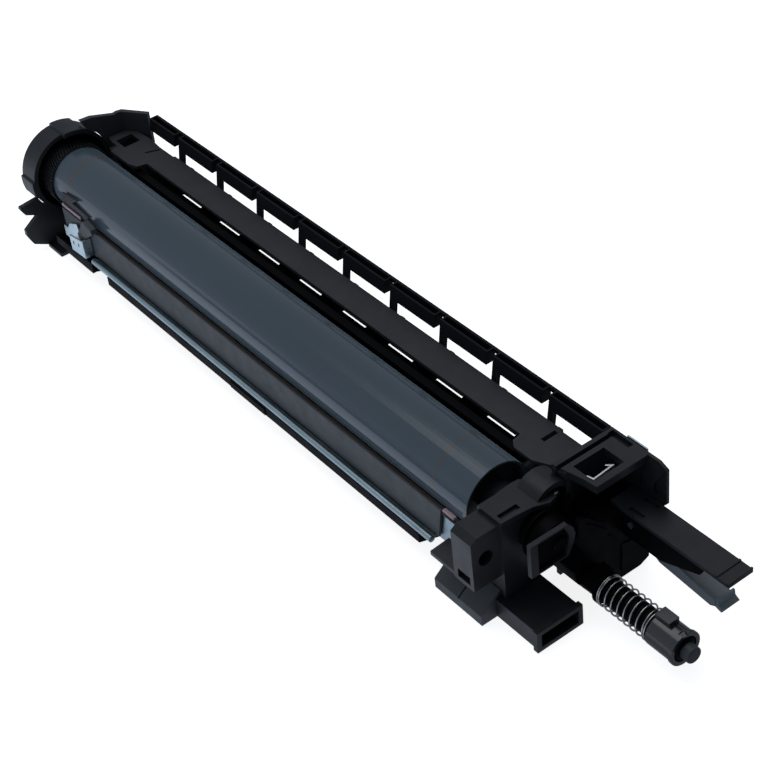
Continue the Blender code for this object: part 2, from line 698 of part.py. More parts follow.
def lever_pin():
    pin = rod("pin", "Y", ARM_Y[0] - 0.6, LEVER_Y[0] + 6.0, 1.3, (LEVER_X, LEVER_Z), 16)
    return finish(pin, "lever_pin", LOOK_ZINC)


def wire(name, points, radius):
    """A round wire through points given in millimetres."""
    curve = bpy.data.curves.new(name, "CURVE")
    curve.dimensions = "3D"
    curve.bevel_depth = radius * MM
    curve.bevel_resolution = 2
    curve.use_fill_caps = True
    spline = curve.splines.new("POLY")
    spline.points.add(len(points) - 1)
    for point, place in zip(spline.points, points):
        point.co = (*[c * MM for c in place], 1)
    drawn = link(bpy.data.objects.new(name, curve))
    bpy.context.view_layer.update()
    solid = link(bpy.data.objects.new(name, evaluated_mesh(drawn)))
    bpy.data.objects.remove(drawn)
    return edit(solid, weld)


def lever_spring():
    """A torsion spring on the pin: one leg below the arm, the other on the lever's plate."""
    radius = 1.3 + GAP + 0.3
    turns = 3.5
    per_turn = 12
    low = LEVER_Y[0] + 1.2 + GAP + 0.3
    coil = []
    for i in range(int(turns * per_turn) + 1):
        angle = math.radians(-40) + 2 * math.pi * i / per_turn
        coil.append((LEVER_X + radius * math.cos(angle), low + 0.75 * i / per_turn,
                     LEVER_Z + radius * math.sin(angle)))
    first_leg = [(53.5, low, -15.3), (52.0, low, -14.6)]
    last_y = coil[-1][1]
    last_leg = [(LEVER_X + 1.2, last_y, ARM_TOP - ARM_THICKNESS - 0.8)]
    return finish(wire("spring", first_leg + coil + last_leg, 0.3), "lever_spring", LOOK_STEEL, 60)


def window_contact():
    leaf = prism("leaf", "Z", ribbon([(24.0, 18.2), (32.4, 18.2), (32.4, 30.0)], 0.8), 11.0, 15.2)
    return finish(leaf, "window_contact", LOOK_STEEL)


def side_contact():
    outline = [(24, 6), (34.5, 6), (34.5, 20.4), (24, 20.4)]
    plate = prism("plate", "Y", outline, RAIL_Y + GAP, RAIL_Y + 1.3)
    return finish(plate, "side_contact", LOOK_ZINC)


# Waste pipe

def waste_pipe():
    end = SHUTTER_X + SHUTTER_LENGTH
    profile = [(end + 4.7, 0), (end + 4.7, 2.4), (end + 4.2, 2.8), (end + 0.5, 2.8), (end + 0.5, 4.4),
               (end - 0.5, PIPE_R), (COLLAR_X + 1.2, PIPE_R), (COLLAR_X + 1.2, 6.5), (COLLAR_X, 6.5),
               (COLLAR_X, PIPE_R), (TRAY_NEAR_X + 0.6, PIPE_R), (TRAY_NEAR_X + 0.6, PIPE_BORE), (end - 1.5, PIPE_BORE),
               (end - 1.5, 0)]
    pipe = turned("pipe", profile, (PIPE_Y, PIPE_Z), steps=32)
    outlet = box("outlet", (SHUTTER_X + 2, end - 3), (PIPE_Y - 2.5, PIPE_Y + 2.5), (PIPE_Z - 7, PIPE_Z - 2))
    cut(pipe, outlet)
    return finish(pipe, "waste_pipe", LOOK_BLACK)


def pipe_shutter():
    bore = PIPE_R + GAP
    end = SHUTTER_X + SHUTTER_LENGTH
    sleeve = ring("sleeve", SHUTTER_X, end, SHUTTER_R, bore, (PIPE_Y, PIPE_Z), steps=32)
    lug = box("lug", (SHUTTER_X, SHUTTER_X + 7), (PIPE_Y - 2.8, PIPE_Y + 4.2), (PIPE_Z + 5.9, PIPE_Z + 8.2))
    join(sleeve, lug)
    return finish(sleeve, "pipe_shutter", LOOK_BLACK)


def pipe_spring():
    low = COLLAR_X + 1.2 + GAP + WIRE_R
    high = SHUTTER_X - GAP - WIRE_R
    closed_turns = 1.5
    open_turns = 7
    per_turn = 10
    total = int((open_turns + 2 * closed_turns) * per_turn)
    closed_rise = 2 * WIRE_R + 0.1
    open_rise = (high - low - 2 * closed_turns * closed_rise) / open_turns
    x = low
    points = []
    for i in range(total + 1):
        turn = i / per_turn
        angle = 2 * math.pi * turn
        points.append((x, PIPE_Y + SPRING_R * math.cos(angle), PIPE_Z + SPRING_R * math.sin(angle)))
        is_open = closed_turns <= turn < closed_turns + open_turns
        x += (open_rise if is_open else closed_rise) / per_turn
    return finish(wire("spring", points, WIRE_R), "pipe_spring", LOOK_STEEL, 60)


def waste_screw():
    """One outline, a core with a fin, turned as it moves along the axis."""
    low = TRAY_FAR_X + 3
    turns = int((SHUTTER_X + SHUTTER_LENGTH - 4 - low) / SCREW_PITCH)
    core_r = 1.5
    fin = math.radians(8)
    corners = [(SCREW_R, -fin), (SCREW_R, fin)]
    corners += [(core_r, math.radians(angle)) for angle in (45, 110, 180, 250, 315)]
    mesh = bpy.data.meshes.new("flight")
    points = [(radius * math.cos(angle) * MM, radius * math.sin(angle) * MM, 0) for radius, angle in corners]
    mesh.from_pydata(points, [(i, (i + 1) % len(points)) for i in range(len(points))], [])
    flight = link(bpy.data.objects.new("flight", mesh))
    screw = flight.modifiers.new("flight", "SCREW")
    screw.steps = screw.render_steps = 10
    screw.iterations = turns
    screw.screw_offset = SCREW_PITCH * MM
    screw.use_merge_vertices = False
    apply_modifiers(flight)
    flight.rotation_euler = (0, math.pi / 2, 0)
    flight.location = (low * MM, PIPE_Y * MM, PIPE_Z * MM)

    def close(work):
        bmesh.ops.holes_fill(work, edges=work.edges, sides=len(corners))
        weld(work)

    edit(flight, close)
    join(flight, rod("journal", "X", TRAY_FAR_X - 12, low + 2, 1.6, (PIPE_Y, PIPE_Z), 12))
    return finish(flight, "waste_screw", LOOK_BLACK)


def screw_gear():
    reach = math.hypot(PIPE_Y, PIPE_Z) - GEAR_R - 0.4
    teeth = 34
    gear = slanted_gear("gear", teeth, reach, GEAR_TOOTH_HEIGHT, GEAR_WIDTH - 1.9, -DRUM_LENGTH - GAP - 0.5,
                        (PIPE_Y, PIPE_Z), -1)
    cut(gear, rod("bore", "X", -320, -300, 1.6 + GAP, (PIPE_Y, PIPE_Z), 12))
    return finish(gear, "screw_gear", LOOK_GREY, 25)


# Rear end

def rear_shell():
    shell = turned("shell", [(SHELL_FRONT_X, SHELL_R), (SHELL_X, SHELL_R), (SHELL_X, BEARING_R),
                             (SHELL_X + 1.8, BEARING_R), (SHELL_X + 1.8, SHELL_BORE),
                             (SHELL_FRONT_X, SHELL_BORE)], closed=True, steps=64)
    lug_outline = (arc((0, 0), SHELL_R + 2.6, 103, 75, 6) + [(9.8, 20.4)]
                   + arc((0, 0), SHELL_BORE + 0.6, 64, 103, 8))
    join(shell, prism("lug", "X", lug_outline, SHELL_X, SHELL_FRONT_X + 3.5))
    return finish(shell, "rear_shell", LOOK_BLACK)


def rear_plate():
    outline = [(-29, -9.5), (-21, -8.2), (-12, -12), (12, -12), (20, -4), (27, 2), (SIDE_Y, 2),
               (SIDE_Y, BASE_Z), (-13, BASE_Z), (-26.6, -32.5), (-29.2, -28), (-29, -23.5), (-18.5, -18.8),
               (-27, -15)]
    plate = prism("plate", "X", outline, SHELL_X, -318)
    shell_space = rod("space", "X", SHELL_X - 1, -310, SHELL_R + GAP, sides=64)
    cut(plate, shell_space)
    hollow = prism("pocket", "X", [(-8, -33), (38.5, -33), (38.5, -3), (26, -3), (15, -22), (-8, -24.5)],
                   SHELL_X - 1, -320.5)
    cut(plate, hollow)
    bottom = [(-20.5, BASE_Z), (SIDE_Y, BASE_Z), (SIDE_Y, -0.5), (SIDE_Y - WALL, -0.5),
              (SIDE_Y - WALL, BASE_Z + WALL), (-20.5, BASE_Z + WALL)]
    join(plate, prism("bottom", "X", bottom, -318.5, TRAY_FAR_X - GAP))
    cut(plate, rod("seat", "X", -325, -310, 1.6 + GAP, (PIPE_Y, PIPE_Z), 16))
    return finish(plate, "rear_plate", LOOK_BLACK)


def rear_cheek():
    front = [(9.2, 22.8), (15.4, 22.5), (27.4, 19.4), (30, 19.4), (30, 2.3)] + \
        arc((0, 0), SHELL_R + GAP, 8, 62, 6)
    cheek = prism("cheek", "X", front, -318, -315.4)
    plan = ribbon([(-316.7, 28.5), (-316, 31.5), (-304, 39.6)], 2.2)
    join(cheek, prism("turn", "Z", plan, 2.3, 19.4))
    return finish(cheek, "rear_cheek", LOOK_BLACK)


def build():
    frame_tray()
    back_rail()
    drum_tube()
    drum_gear()
    drum_flange()
    drum_shaft()
    bearing("front_bearing", 16, 22)
    bearing("rear_bearing", SHELL_X, SHELL_X + 4)
    blade_holder()
    cleaning_blade()
    blade_screw("blade_screw_far", BLADE_SCREWS[0], -19.2)
    blade_screw("blade_screw_near", BLADE_SCREWS[1], -17.9)
    earth_clip()
    end_seal("end_seal_far", -301, -284)
    end_seal("end_seal_near", -13, -6)
    charge_case()
    charge_roller()
    charge_shaft()
    charge_bearing("charge_bearing_far", -302.5, -299.3)
    charge_bearing("charge_bearing_near", -9.7, -7.5)
    charge_cover()
    front_housing()
    coupling_cover()
    head_frame()
    front_panel()
    base_shoe()
    wing_guide()
    duct_box()
    grip_arm()
    release_lever()
    lever_pin()
    lever_spring()
    window_contact()
    side_contact()
    waste_pipe()
    pipe_shutter()
    pipe_spring()
    waste_screw()
    screw_gear()
    rear_shell()
    rear_plate()
    rear_cheek()


def stand():
    """Parents every piece to one empty, which puts the middle of the footprint at the world's origin."""
    bpy.context.view_layer.update()
    pieces = list(PARTS.objects)
    corners = [piece.matrix_world @ Vector(corner) for piece in pieces for corner in piece.bound_box]
    low = [min(corner[i] for corner in corners) for i in range(3)]
    high = [max(corner[i] for corner in corners) for i in range(3)]
    origin = link(bpy.data.objects.new("origin", None))
    for piece in pieces:
        piece.parent = origin
    origin.location = (-(low[0] + high[0]) / 2, -(low[1] + high[1]) / 2, -low[2])
    bpy.context.view_layer.update()
    print("origin", [round(value, 6) for value in origin.location])
    print("size", [round(high[i] - low[i], 6) for i in range(3)])


build()
stand()
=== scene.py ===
# Printer drum unit: materials, small details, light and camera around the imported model.

import json
import math

import bmesh
import bpy
from mathutils import Matrix, Vector


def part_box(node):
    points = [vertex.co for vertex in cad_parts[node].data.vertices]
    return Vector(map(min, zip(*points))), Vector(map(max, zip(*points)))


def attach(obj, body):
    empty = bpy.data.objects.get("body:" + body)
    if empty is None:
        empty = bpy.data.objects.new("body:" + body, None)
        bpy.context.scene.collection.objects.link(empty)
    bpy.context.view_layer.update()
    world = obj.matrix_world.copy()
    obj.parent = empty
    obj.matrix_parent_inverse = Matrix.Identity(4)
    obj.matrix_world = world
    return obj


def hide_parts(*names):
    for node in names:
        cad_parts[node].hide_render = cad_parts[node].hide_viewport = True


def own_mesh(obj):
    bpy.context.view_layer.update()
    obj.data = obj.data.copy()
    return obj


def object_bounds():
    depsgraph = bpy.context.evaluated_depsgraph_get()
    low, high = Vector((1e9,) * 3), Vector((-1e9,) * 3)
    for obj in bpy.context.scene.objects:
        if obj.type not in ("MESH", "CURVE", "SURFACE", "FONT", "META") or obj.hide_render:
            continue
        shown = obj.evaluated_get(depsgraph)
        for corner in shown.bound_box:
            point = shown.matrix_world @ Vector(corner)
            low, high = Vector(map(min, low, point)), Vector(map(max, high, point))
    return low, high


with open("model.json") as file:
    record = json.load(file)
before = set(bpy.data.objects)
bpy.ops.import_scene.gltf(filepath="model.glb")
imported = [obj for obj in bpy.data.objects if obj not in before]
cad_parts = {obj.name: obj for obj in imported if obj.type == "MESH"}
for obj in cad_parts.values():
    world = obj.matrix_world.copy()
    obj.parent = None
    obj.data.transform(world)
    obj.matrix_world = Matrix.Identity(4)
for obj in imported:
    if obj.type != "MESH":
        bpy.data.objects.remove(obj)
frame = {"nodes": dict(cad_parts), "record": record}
cad_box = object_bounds()
NODES = frame["nodes"]

# The drum's near end is the origin of every detail; lengths are in millimetres where no comment says metres
MM = 0.001
drum_low, drum_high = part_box("drum_tube")
ORIGIN = Vector((drum_high.x, (drum_low.y + drum_high.y) / 2, (drum_low.z + drum_high.z) / 2))


def place(x, y, z):
    """A point of the drum's own frame, in the world."""
    return ORIGIN + Vector((x, y, z)) * MM


def link(obj):
    bpy.context.scene.collection.objects.link(obj)
    return obj


# Camera

PHOTO_WIDTH = 761
PHOTO_HEIGHT = 781
FOCAL_PIXELS = 1800
CAMERA_RIGHT = Vector((0.6052, 0.7901, -0.0973))
CAMERA_DOWN = Vector((0.4594, -0.4465, -0.7679))
CAMERA_AHEAD = Vector((-0.6501, 0.42, -0.6332))
CAMERA_AT = (385.9, -294.4, 452.7)


def add_camera():
    data = bpy.data.cameras.new("photo_camera")
    data.sensor_width = 36
    data.lens = FOCAL_PIXELS / max(PHOTO_WIDTH, PHOTO_HEIGHT) * data.sensor_width
    data.clip_start = 0.01
    camera = link(bpy.data.objects.new("photo_camera", data))
    turn = Matrix((CAMERA_RIGHT, -CAMERA_DOWN, -CAMERA_AHEAD)).transposed().to_4x4()
    camera.matrix_world = Matrix.Translation(place(*CAMERA_AT)) @ turn
    bpy.context.scene.camera = camera


add_camera()


# Node helpers

def new_material(name):
    made = bpy.data.materials.new(name)
    made.use_nodes = True
    return made, made.node_tree.nodes, made.node_tree.links, made.node_tree.nodes["Principled BSDF"]


def noise(nodes, links, scale, detail, stretch=None):
    """Noise in the object's own coordinates, at a scale per metre, drawn out along an axis by stretch."""
    where = nodes.new("ShaderNodeTexCoord")
    out = where.outputs["Object"]
    if stretch:
        mapping = nodes.new("ShaderNodeMapping")
        mapping.inputs["Scale"].default_value = stretch
        links.new(out, mapping.inputs["Vector"])
        out = mapping.outputs["Vector"]
    texture = nodes.new("ShaderNodeTexNoise")
    texture.inputs["Scale"].default_value = scale
    texture.inputs["Detail"].default_value = detail
    links.new(out, texture.inputs["Vector"])
    return texture.outputs["Fac"]


def ramp(nodes, links, value, start, end, low, high, kind="SMOOTHSTEP"):
    """A step from low to high as the value goes from start to end."""
    span = nodes.new("ShaderNodeMapRange")
    span.interpolation_type = kind
    span.inputs["From Min"].default_value = start
    span.inputs["From Max"].default_value = end
    span.inputs["To Min"].default_value = low
    span.inputs["To Max"].default_value = high
    links.new(value, span.inputs["Value"])
    return span.outputs["Result"]


NOISE_RANGE = (0.3, 0.7)


def spread(nodes, links, value, low, high):
    """Stretches a noise value, which lies round 0.5, to run from low to high."""
    return ramp(nodes, links, value, *NOISE_RANGE, low, high, "LINEAR")


def blend_colours(nodes, links, value, first, second):
    """Goes from one colour to another with a noise value."""
    mix = nodes.new("ShaderNodeMix")
    mix.data_type = "RGBA"
    mix.inputs["A"].default_value = (*first, 1)
    mix.inputs["B"].default_value = (*second, 1)
    links.new(spread(nodes, links, value, 0, 1), mix.inputs["Factor"])
    return mix.outputs["Result"]


def bumps(nodes, links, value, depth, before=None):
    bump = nodes.new("ShaderNodeBump")
    bump.inputs["Strength"].default_value = 1
    bump.inputs["Distance"].default_value = depth
    links.new(value, bump.inputs["Height"])
    if before:
        links.new(before, bump.inputs["Normal"])
    return bump.outputs["Normal"]


# Depths of the surface marks, in metres
MOULD_WAVES = 0.00004
METAL_LINES = 0.00001
DRUM_RINGS = 0.000004
FELT_FIBRES = 0.0002


def moulded(name, shades, rough, grain_scale, grain_depth, specular):
    """Moulded plastic: cloudy colour and gloss, slow waves from the mould and a fine grain."""
    made, nodes, links, shader = new_material(name)
    cloud = noise(nodes, links, 45, 6)
    links.new(blend_colours(nodes, links, cloud, *shades), shader.inputs["Base Color"])
    smear = noise(nodes, links, 160, 5)
    links.new(spread(nodes, links, smear, *rough), shader.inputs["Roughness"])
    shader.inputs["Specular IOR Level"].default_value = specular
    waves = bumps(nodes, links, noise(nodes, links, 60, 2), MOULD_WAVES)
    links.new(bumps(nodes, links, noise(nodes, links, grain_scale, 3), grain_depth, waves),
              shader.inputs["Normal"])
    return made


def metal(name, shades, rough, stretch):
    """Rolled or plated metal with fine lines along the sheet."""
    made, nodes, links, shader = new_material(name)
    cloud = noise(nodes, links, 90, 6)
    links.new(blend_colours(nodes, links, cloud, *shades), shader.inputs["Base Color"])
    lines = noise(nodes, links, 900, 4, stretch)
    links.new(spread(nodes, links, lines, *rough), shader.inputs["Roughness"])
    links.new(bumps(nodes, links, lines, METAL_LINES), shader.inputs["Normal"])
    shader.inputs["Metallic"].default_value = 1
    return made


# The brown bands are given in parts of the drum's length, from its far end
DRUM_SHADES = ((0.066, 0.094, 0.116), (0.076, 0.106, 0.132))
DRUM_ROUGH = (0.16, 0.21)
DRUM_SHEEN = (0.7, 0.88, 1.0, 1)
BAND_COLOUR = (0.105, 0.088, 0.084, 1)
DRUM_BANDS = ((0.038, 0.043), (0.930, 0.935), (0.942, 0.945))


def coated_drum():
    """Glossy coating over a turned tube: faint rings round the axis and brown bands near both ends."""
    made, nodes, links, shader = new_material("drum_coating")
    cloud = noise(nodes, links, 20, 5, (0.3, 1, 1))
    colour = blend_colours(nodes, links, cloud, *DRUM_SHADES)
    along = nodes.new("ShaderNodeSeparateXYZ")
    links.new(nodes.new("ShaderNodeTexCoord").outputs["Generated"], along.inputs["Vector"])
    bands = nodes.new("ShaderNodeValToRGB")
    bands.color_ramp.interpolation = "CONSTANT"
    bands.color_ramp.elements[1].color = (0, 0, 0, 1)
    for start, end in DRUM_BANDS:
        bands.color_ramp.elements.new(start).color = (1, 1, 1, 1)
        bands.color_ramp.elements.new(end).color = (0, 0, 0, 1)
    links.new(along.outputs["X"], bands.inputs["Fac"])
    banded = nodes.new("ShaderNodeMix")
    banded.data_type = "RGBA"
    banded.inputs["B"].default_value = BAND_COLOUR
    links.new(colour, banded.inputs["A"])
    links.new(bands.outputs["Color"], banded.inputs["Factor"])
    links.new(banded.outputs["Result"], shader.inputs["Base Color"])
    rings = noise(nodes, links, 500, 3, (1, 0.02, 0.02))
    links.new(spread(nodes, links, rings, *DRUM_ROUGH), shader.inputs["Roughness"])
    links.new(bumps(nodes, links, rings, DRUM_RINGS), shader.inputs["Normal"])
    shader.inputs["Specular IOR Level"].default_value = 0.5
    shader.inputs["Sheen Weight"].default_value = 0.7
    shader.inputs["Sheen Roughness"].default_value = 0.3
    shader.inputs["Sheen Tint"].default_value = DRUM_SHEEN
    return made


FELT_SHADES = ((0.36, 0.22, 0.25), (0.72, 0.58, 0.60))


def felt_pad():
    made, nodes, links, shader = new_material("felt_pad")
    fibres = noise(nodes, links, 2500, 8)
    links.new(blend_colours(nodes, links, fibres, *FELT_SHADES), shader.inputs["Base Color"])
    shader.inputs["Roughness"].default_value = 0.95
    links.new(bumps(nodes, links, fibres, FELT_FIBRES), shader.inputs["Normal"])
    return made


# Each moulding has its shades, range of roughness, grain's scale and depth, and specular level
BLACK = ((0.014, 0.015, 0.018), (0.022, 0.024, 0.028))
MOULDINGS = {
    "black_moulding": (BLACK, (0.36, 0.48), 2600, 0.00002, 0.38),
    "housing_moulding": (BLACK, (0.30, 0.44), 2600, 0.00002, 0.32),
    "grip_moulding": (BLACK, (0.38, 0.50), 2200, 0.00003, 0.32),
    "pipe_moulding": (BLACK, (0.14, 0.22), 2600, 0.00001, 0.8),
    "gear_moulding": (BLACK, (0.20, 0.30), 2600, 0.00001, 0.8),
    "rail_moulding": (((0.008, 0.009, 0.011), (0.013, 0.014, 0.017)), (0.36, 0.48), 2600, 0.00002, 0.1),
    # A darker, low-gloss copy of the black moulding that paints the shade of the pieces that sit in recesses
    # and hollows
    "painted_shade_black": (((0.0015, 0.0015, 0.002), (0.003, 0.003, 0.004)), (0.42, 0.54), 2600, 0.00002, 0.05),
    "matte_cover": (((0.024, 0.025, 0.030), (0.032, 0.034, 0.040)), (0.55, 0.68), 2000, 0.00004, 0.5),
    "case_moulding": (((0.036, 0.041, 0.047), (0.048, 0.054, 0.061)), (0.45, 0.58), 2200, 0.00003, 0.5),
    "grey_moulding": (((0.180, 0.215, 0.240), (0.220, 0.255, 0.280)), (0.36, 0.5), 2400, 0.00003, 0.5),
    "roller_rubber": (((0.012, 0.012, 0.014), (0.02, 0.02, 0.023)), (0.5, 0.62), 3000, 0.00002, 0.5),
    "blade_rubber": (((0.04, 0.02, 0.01), (0.07, 0.04, 0.02)), (0.4, 0.5), 2500, 0.00001, 0.5),
}
# Each metal has its shades, range of roughness and the stretch of its lines
METALS = {
    "zinc_plate": (((0.33, 0.42, 0.46), (0.42, 0.52, 0.56)), (0.30, 0.44), (0.05, 1, 1)),
    "clip_plate": (((0.52, 0.64, 0.70), (0.68, 0.80, 0.86)), (0.26, 0.40), (0.05, 1, 1)),
    "bright_steel": (((0.50, 0.50, 0.49), (0.62, 0.62, 0.60)), (0.16, 0.30), (1, 1, 1)),
}
LOOKS = {"coated_drum": coated_drum(), "felt": felt_pad()}
for kind, values in MOULDINGS.items():
    LOOKS[kind] = moulded(kind + "_look", *values)
for kind, values in METALS.items():
    LOOKS[kind] = metal(kind + "_look", *values)

# Pieces whose look isn't that of their slot in the record
LOOK_OF = {"earth_clip": "clip_plate"}
# These pieces sit in shade, round the coupling, under the arm and in the hollows, and the darker black
# paints that shade on them
for piece in ("front_panel", "coupling_hub", "coupling_floor", "charge_case", "frame_tray", "waste_pipe",
              "arm_web", "drum_shaft"):
    LOOK_OF[piece] = "painted_shade_black"
for piece in ("blade_case", "base_shoe", "rear_cheek", "pipe_nose"):
    LOOK_OF[piece] = "case_moulding"


def dress_nodes():
    """Gives each node of the model its look."""
    for entry in frame["record"]["subparts"]:
        node = NODES[entry["node"]]
        node.data.materials.clear()
        node.data.materials.append(LOOKS[LOOK_OF.get(entry["node"], entry["material_slot"])])


dress_nodes()


# Sizes of the finer shapes, in the drum's own frame; only WELD is in metres

WELD = 0.000005
GAP = 0.3
EDGE = 0.25
EDGE_ANGLE = math.radians(30)
SMOOTH_ANGLE = 35

# Drum and what it carries
DRUM_R = 15.0
DRUM_LENGTH = 307.0
FAR_X = -DRUM_LENGTH
TUBE_WALL = 0.8
SHAFT_R = 3.0
HUB_X = 4.8
FLANGE_HUB_R = 7.0

# Gears: the drum's gear drives the one on the waste screw
GEAR_R = 16.2
GEAR_WIDTH = 13.0
GEAR_TEETH = 64
TOOTH_HEIGHT = 1.3
TOOTH_CENTRE = 0.6
GEAR_HELIX = math.radians(20)
SCREW_GEAR_SPACE = 12.3
GEAR_MIDDLE_X = FAR_X - GAP - GEAR_WIDTH / 2
MESH_X = FAR_X - 4.65

# Long frame
WALL = 1.8
BASE_Z = -36.0
FLOOR_Z = -14.3
TRAY_FAR_X = FAR_X + 1.5
TRAY_NEAR_X = 8.4
SIDE_Y = 41.5
TRAY_WALL_TOP = -0.5
LIP_Y = -19.9
LIP_TOP = -22.6
BOSS_Y = -15.1
TROUGH_SPACE = 0.8
POST_COUNT = 9
FIRST_POST_X = FAR_X + 33.4
LAST_POST_X = -12.8
BAY = (LAST_POST_X - FIRST_POST_X) / (POST_COUNT - 1)
POST_WIDTH = 2.5
WINDOW_WIDTH = 3.6
SLOT_LEAD = 6.9
SLOT_LENGTH = 18.2
SLOT_Y = (36.3, 38.3)
RIB_LEAD = 30.0
RIB_Y = (33.0, 35.0)

# Back rail
RAIL_TOP = 19.0
RAIL_Y = 42.0
RAIL_DEPTH = 6.0
RAIL_FAR_X = FAR_X + 7.7
RAIL_LEAN = 0.16
RAIL_INNER_Y = 37.5
RAIL_RIM = 0.8
POCKET_DEPTH = 4.5
BAR_WIDTH = 1.2
BAR_HEIGHT = 2.0

# Blade side: the steel holder stands on the bosses, and its case is outside it
LEG_Y = BOSS_Y - GAP
LEG_THICKNESS = 0.9
CASE_Y = LEG_Y - LEG_THICKNESS - GAP
CASE_THICKNESS = 1.2
CLIP_Y = CASE_Y - CASE_THICKNESS - GAP
CLIP_THICKNESS = 0.8
CLIP_FRONT_Y = -22.5
BEAD_R = 1.45
BEAD_AT = (-19.6, -21.0)
BLADE_SCREW_Z = -15.6
FAR_SCREW_AT = (FAR_X + 25.5, BLADE_SCREW_Z)
NEAR_SCREW_AT = (-3.0, BLADE_SCREW_Z)
THREAD_R = 1.5
SCREW_HEAD_R = 3.2

# Charge roller and its cover
COVER_TOP = 9.0
COVER_THICKNESS = 1.6
COVER_Y = 22.3

# Waste screw and pipe
PIPE_Y = 12.8
PIPE_Z = -24.0
PIPE_R = 5.1
PIPE_BORE = 4.3
PIPE_AT = (PIPE_Y, PIPE_Z)
JOURNAL_R = 1.6
COLLAR_X = 43.0
COLLAR_NEAR_X = COLLAR_X + 1.2
SPRING_R = 6.2
WIRE_R = 0.36
SHUTTER_X = 70.4
SHUTTER_R = 6.7
SHUTTER_LENGTH = 13.4
SHUTTER_END = SHUTTER_X + SHUTTER_LENGTH
PIPE_END = SHUTTER_END + 0.5

# Front end
WALL_X = 11.3
BEAM_X = 10.7
BEAM_FRONT_X = 21.5
BEAM_TOP = 12.0
HUMP_R = 9.7
HUMP_AT = (8.0, 6.2)
HUMP_FACE_X = 22.3
HUMP_FLOOR_X = 17.0
HOUSING_SCREW_AT = (12.8, 5.0)
HUB_R = 8.6
HUB_FACE_X = 32.6
HUB_COLLAR_X = (25.6, 26.3)
CLEAR_R = 15.8
BEARING_R = 6.5
HEAD_X = 16.5
HEAD_BACK_X = HEAD_X + 2
HEAD_Y = 12.5
HEAD_FRONT_X = 36.5
HEAD_SLAB = 3.5
PANEL_X = 35.0
RIDGE_WIDTH = 0.6
RIDGE_HEIGHT = 0.5
ARM_TOP = 0.0
ARM_THICKNESS = 1.6
ARM_TIP_X = 88.5
ARM_Y = (28.5, 40.4)
ARM_SLOTS = (29.9, 37.3)
WEB_THICKNESS = 1.5
PIN_R = 1.3
LEVER_AT = (40.3, -5.2)
LEVER_Y = (30.4, 39.4)
LEVER_BOSS_R = 3.0
LEVER_THICKNESS = 1.0

# Rear end
SHELL_X = FAR_X - 20
SHELL_FRONT_X = FAR_X - 8
SHELL_BORE = GEAR_R + 2.9
SHELL_R = SHELL_BORE + 2.0
PLATE_FACE_X = FAR_X - 11
FIN_THICKNESS = 2.6
CHEEK_THICKNESS = 2.6


# Building blocks

def evaluated_mesh(obj):
    graph = bpy.context.evaluated_depsgraph_get()
    return bpy.data.meshes.new_from_object(obj.evaluated_get(graph))


def apply_modifiers(obj):
    mesh = evaluated_mesh(obj)
    obj.modifiers.clear()
    obj.data = mesh
    return obj


def weld(obj):
    """Joins the points that meet and turns every face outwards."""
    work = bmesh.new()
    work.from_mesh(obj.data)
    bmesh.ops.remove_doubles(work, verts=work.verts, dist=WELD)
    bmesh.ops.recalc_face_normals(work, faces=work.faces)
    work.to_mesh(obj.data)
    work.free()
    return obj


AXIS_TURN = {
    "X": (math.pi / 2, 0, math.pi / 2),
    "Y": (math.pi / 2, 0, 0),
    "Z": (0, 0, 0),
}


def prism(name, axis, outline, low, high, holes=()):
    """A flat outline, with its holes, pulled along an axis from low to high.

    The outline is read in (y, z) along X, in (x, z) along Y and in (x, y) along Z.
    """
    curve = bpy.data.curves.new(name, "CURVE")
    curve.dimensions = "2D"
    curve.fill_mode = "BOTH"
    curve.extrude = (high - low) / 2 * MM
    for loop in (outline, *holes):
        spline = curve.splines.new("POLY")
        spline.points.add(len(loop) - 1)
        for point, (a, b) in zip(spline.points, loop):
            point.co = (a * MM, b * MM, 0, 1)
        spline.use_cyclic_u = True
    drawn = link(bpy.data.objects.new(name, curve))
    drawn.rotation_euler = AXIS_TURN[axis]
    drawn.location["XYZ".index(axis)] = (low + high) / 2 * MM
    bpy.context.view_layer.update()
    solid = link(bpy.data.objects.new(name, evaluated_mesh(drawn)))
    solid.matrix_world = drawn.matrix_world
    bpy.data.objects.remove(drawn)
    return weld(solid)


def solid_of(name, work):
    mesh = bpy.data.meshes.new(name)
    work.to_mesh(mesh)
    work.free()
    return link(bpy.data.objects.new(name, mesh))


def box(name, x, y, z):
    work = bmesh.new()
    bmesh.ops.create_cube(work, size=1)
    size = Vector((x[1] - x[0], y[1] - y[0], z[1] - z[0])) * MM
    bmesh.ops.scale(work, vec=size, verts=work.verts)
    solid = solid_of(name, work)
    solid.location = ((x[0] + x[1]) / 2 * MM, (y[0] + y[1]) / 2 * MM, (z[0] + z[1]) / 2 * MM)
    return solid


def rod(name, axis, low, high, radius, at=(0, 0), sides=32):
    """A cylinder along X or Y; at holds its place on the two other axes, in their order."""
    work = bmesh.new()
    bmesh.ops.create_cone(work, cap_ends=True, segments=sides, radius1=radius * MM, radius2=radius * MM,
                          depth=(high - low) * MM)
    solid = solid_of(name, work)
    middle = (low + high) / 2
    if axis == "X":
        solid.rotation_euler = (0, math.pi / 2, 0)
        solid.location = (middle * MM, at[0] * MM, at[1] * MM)
    else:
        solid.rotation_euler = (math.pi / 2, 0, 0)
        solid.location = (at[0] * MM, middle * MM, at[1] * MM)
    return solid


